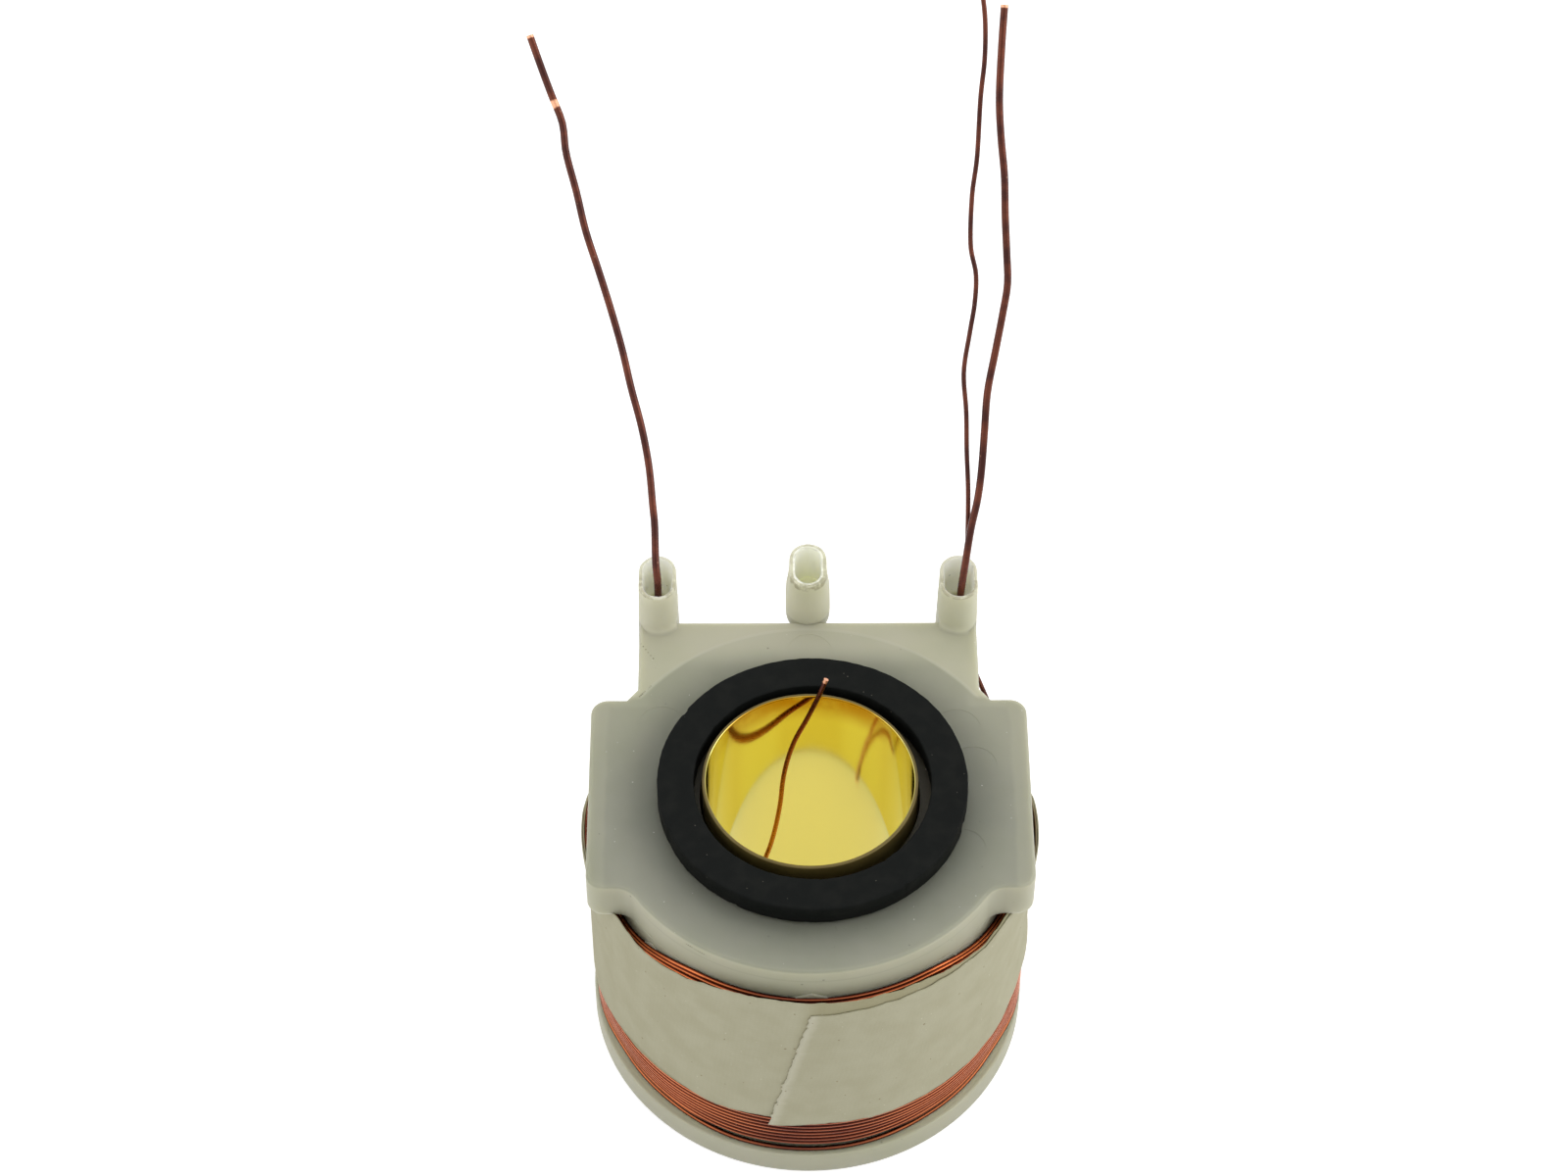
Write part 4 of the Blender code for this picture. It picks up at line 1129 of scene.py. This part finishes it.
colour = blend_colour(tree, meet(tree, fuzz, 0.5), colour, (0.62, 0.6, 0.48))
colour = speckled(tree, place, colour, (0.2, 0.15, 0.08), 0.6, 1.1, 0.17, 0.14)
colour = speckled(tree, place, colour, (0.7, 0.68, 0.56), 0.6, 1.9, 0.18, 0.12)
tree.links.new(colour, shader.inputs['Base Color'])
wrinkles = noise_value(tree, place, 1.2, 4.0)
relief = calculate(tree, 'MULTIPLY_ADD', wrinkles, 1.6, meet(tree, weave, 0.25))
add_bump(tree, shader, relief, 0.4, 0.07)
tape.data.materials.append(cloth)
place_piece(tape, "cloth_tape", "tape_wrap")

# Rubber ring. A flat black ring punched from sheet lies loose on the head round
# the sleeve, with slightly rough edges.
RING_BORE = 25.1 * MM
RING_DIAMETER = 32.8 * MM
RING_THICKNESS = 2.45 * MM
RING_EDGE = 0.14 * MM
RING_SHIFT = Vector((0.25, -0.1, 0)) * MM
RING_FOOT = 37.5 * MM
inner = RING_BORE / 2
outer = RING_DIAMETER / 2
ring_top = RING_FOOT + RING_THICKNESS
edge = RING_EDGE
ring = turned("flat_rubber_ring", [
    (outer, RING_FOOT + edge), (outer, ring_top - 2 * edge), (outer, ring_top - edge),
    (outer - 0.3 * edge, ring_top - 0.3 * edge), (outer - edge, ring_top),
    (outer - 2 * edge, ring_top), (inner + 2 * edge, ring_top), (inner + edge, ring_top),
    (inner + 0.3 * edge, ring_top - 0.3 * edge), (inner, ring_top - edge),
    (inner, RING_FOOT + edge), (inner + edge, RING_FOOT), (outer - edge, RING_FOOT),
], steps=360, smooth_angle=50)
for vert in ring.data.vertices:
    azimuth = math.atan2(vert.co.x, -vert.co.y)
    wobble = 0.06 * noise.noise(Vector((azimuth * 3, vert.co.z / MM * 0.3, 0)))
    wobble += 0.05 * noise.noise(Vector((azimuth * 16, vert.co.z / MM, 4)))
    if noise.noise(Vector((azimuth * 9, 2, vert.co.z / MM * 0.7))) > 0.42:
        wobble -= 0.12 if vert.co.xy.length > (outer + inner) / 2 else -0.08
    scale = 1 + wobble * MM / vert.co.xy.length
    vert.co.x = vert.co.x * scale + RING_SHIFT.x
    vert.co.y = vert.co.y * scale + RING_SHIFT.y
    vert.co.z += 0.02 * MM * noise.noise(Vector((azimuth * 5, 1, 9)))
rubber, tree, shader = new_material("black_rubber", Specular_IOR_Level=0.08)
place = coil_place(tree)
smears = noise_value(tree, place, 0.5, 4.0)
greyer = step_up(tree, smears, 0.35, 0.8)
colour = blend_colour(tree, greyer, (0.0048, 0.0058, 0.0052), (0.0095, 0.0103, 0.009))
colour = speckled(tree, place, colour, (0.16, 0.15, 0.12), 0.6, 2.4, 0.16, 0.08)
tree.links.new(colour, shader.inputs['Base Color'])
vary_roughness(tree, shader, smears, 0.55, 0.75)
add_bump(tree, shader, noise_value(tree, place, 4.0, 4.0), 0.35, 0.03)
ring.data.materials.append(rubber)
place_piece(ring, "rubber", "rubber_ring")

# Studio. A plain white floor, even light from all round and three soft lamps,
# at the left, at the right and high at the back, as for a product photograph.
FLOOR_HALF = 3.0
FLOOR_GLOW = 0.55
WORLD_LIGHT = 0.84


def seen_directly(tree):
    """A mask of what the camera sees, also in metal and through glass."""
    rays = add_node(tree, 'ShaderNodeLightPath').outputs
    seen = calculate(tree, 'ADD', rays['Is Camera Ray'], rays['Is Glossy Ray'])
    seen = calculate(tree, 'ADD', seen, rays['Is Transmission Ray'])
    return calculate(tree, 'MINIMUM', seen, 1.0)


bm = bmesh.new()
bmesh.ops.create_grid(bm, x_segments=1, y_segments=1, size=FLOOR_HALF)
floor = new_object("studio_floor", bm)
floor.data.transform(Matrix.Translation((0, 0, -0.02 * MM)))
paper, tree, shader = new_material("white_paper", Roughness=0.9, Specular_IOR_Level=0.1)
shader.inputs['Base Color'].default_value = (0.8, 0.8, 0.8, 1)
shader.inputs['Emission Color'].default_value = (1, 1, 1, 1)
tree.links.new(meet(tree, seen_directly(tree), FLOOR_GLOW), shader.inputs['Emission Strength'])
floor.data.materials.append(paper)

world = bpy.data.worlds.new("studio_light")
bpy.context.scene.world = world
world.use_nodes = True
tree = world.node_tree
tree.nodes.clear()
level = calculate(tree, 'MULTIPLY_ADD', seen_directly(tree), 1.0 - WORLD_LIGHT, WORLD_LIGHT)
background = add_node(tree, 'ShaderNodeBackground', {'Color': (1, 1, 1, 1), 'Strength': level})
add_node(tree, 'ShaderNodeOutputWorld', {'Surface': background.outputs[0]})

for name, place, size, energy in (
    ("left_lamp", (-0.42, -0.08, 0.3), 0.35, 0.3),
    ("right_lamp", (0.42, 0.0, 0.3), 0.35, 0.75),
    ("top_lamp", (0.0, 0.3, 0.6), 0.4, 0.4),
):
    lamp_data = bpy.data.lights.new(name, 'AREA')
    lamp_data.shape = 'SQUARE'
    lamp_data.size = size
    lamp_data.energy = energy
    lamp = bpy.data.objects.new(name, lamp_data)
    bpy.context.scene.collection.objects.link(lamp)
    spot = Vector(place)
    aim = on_coil((0, 0, 25)) - spot
    lamp.matrix_world = Matrix.Translation(spot) @ aim.to_track_quat('-Z', 'Y').to_matrix().to_4x4()

bpy.context.scene.view_settings.view_transform = 'Standard'
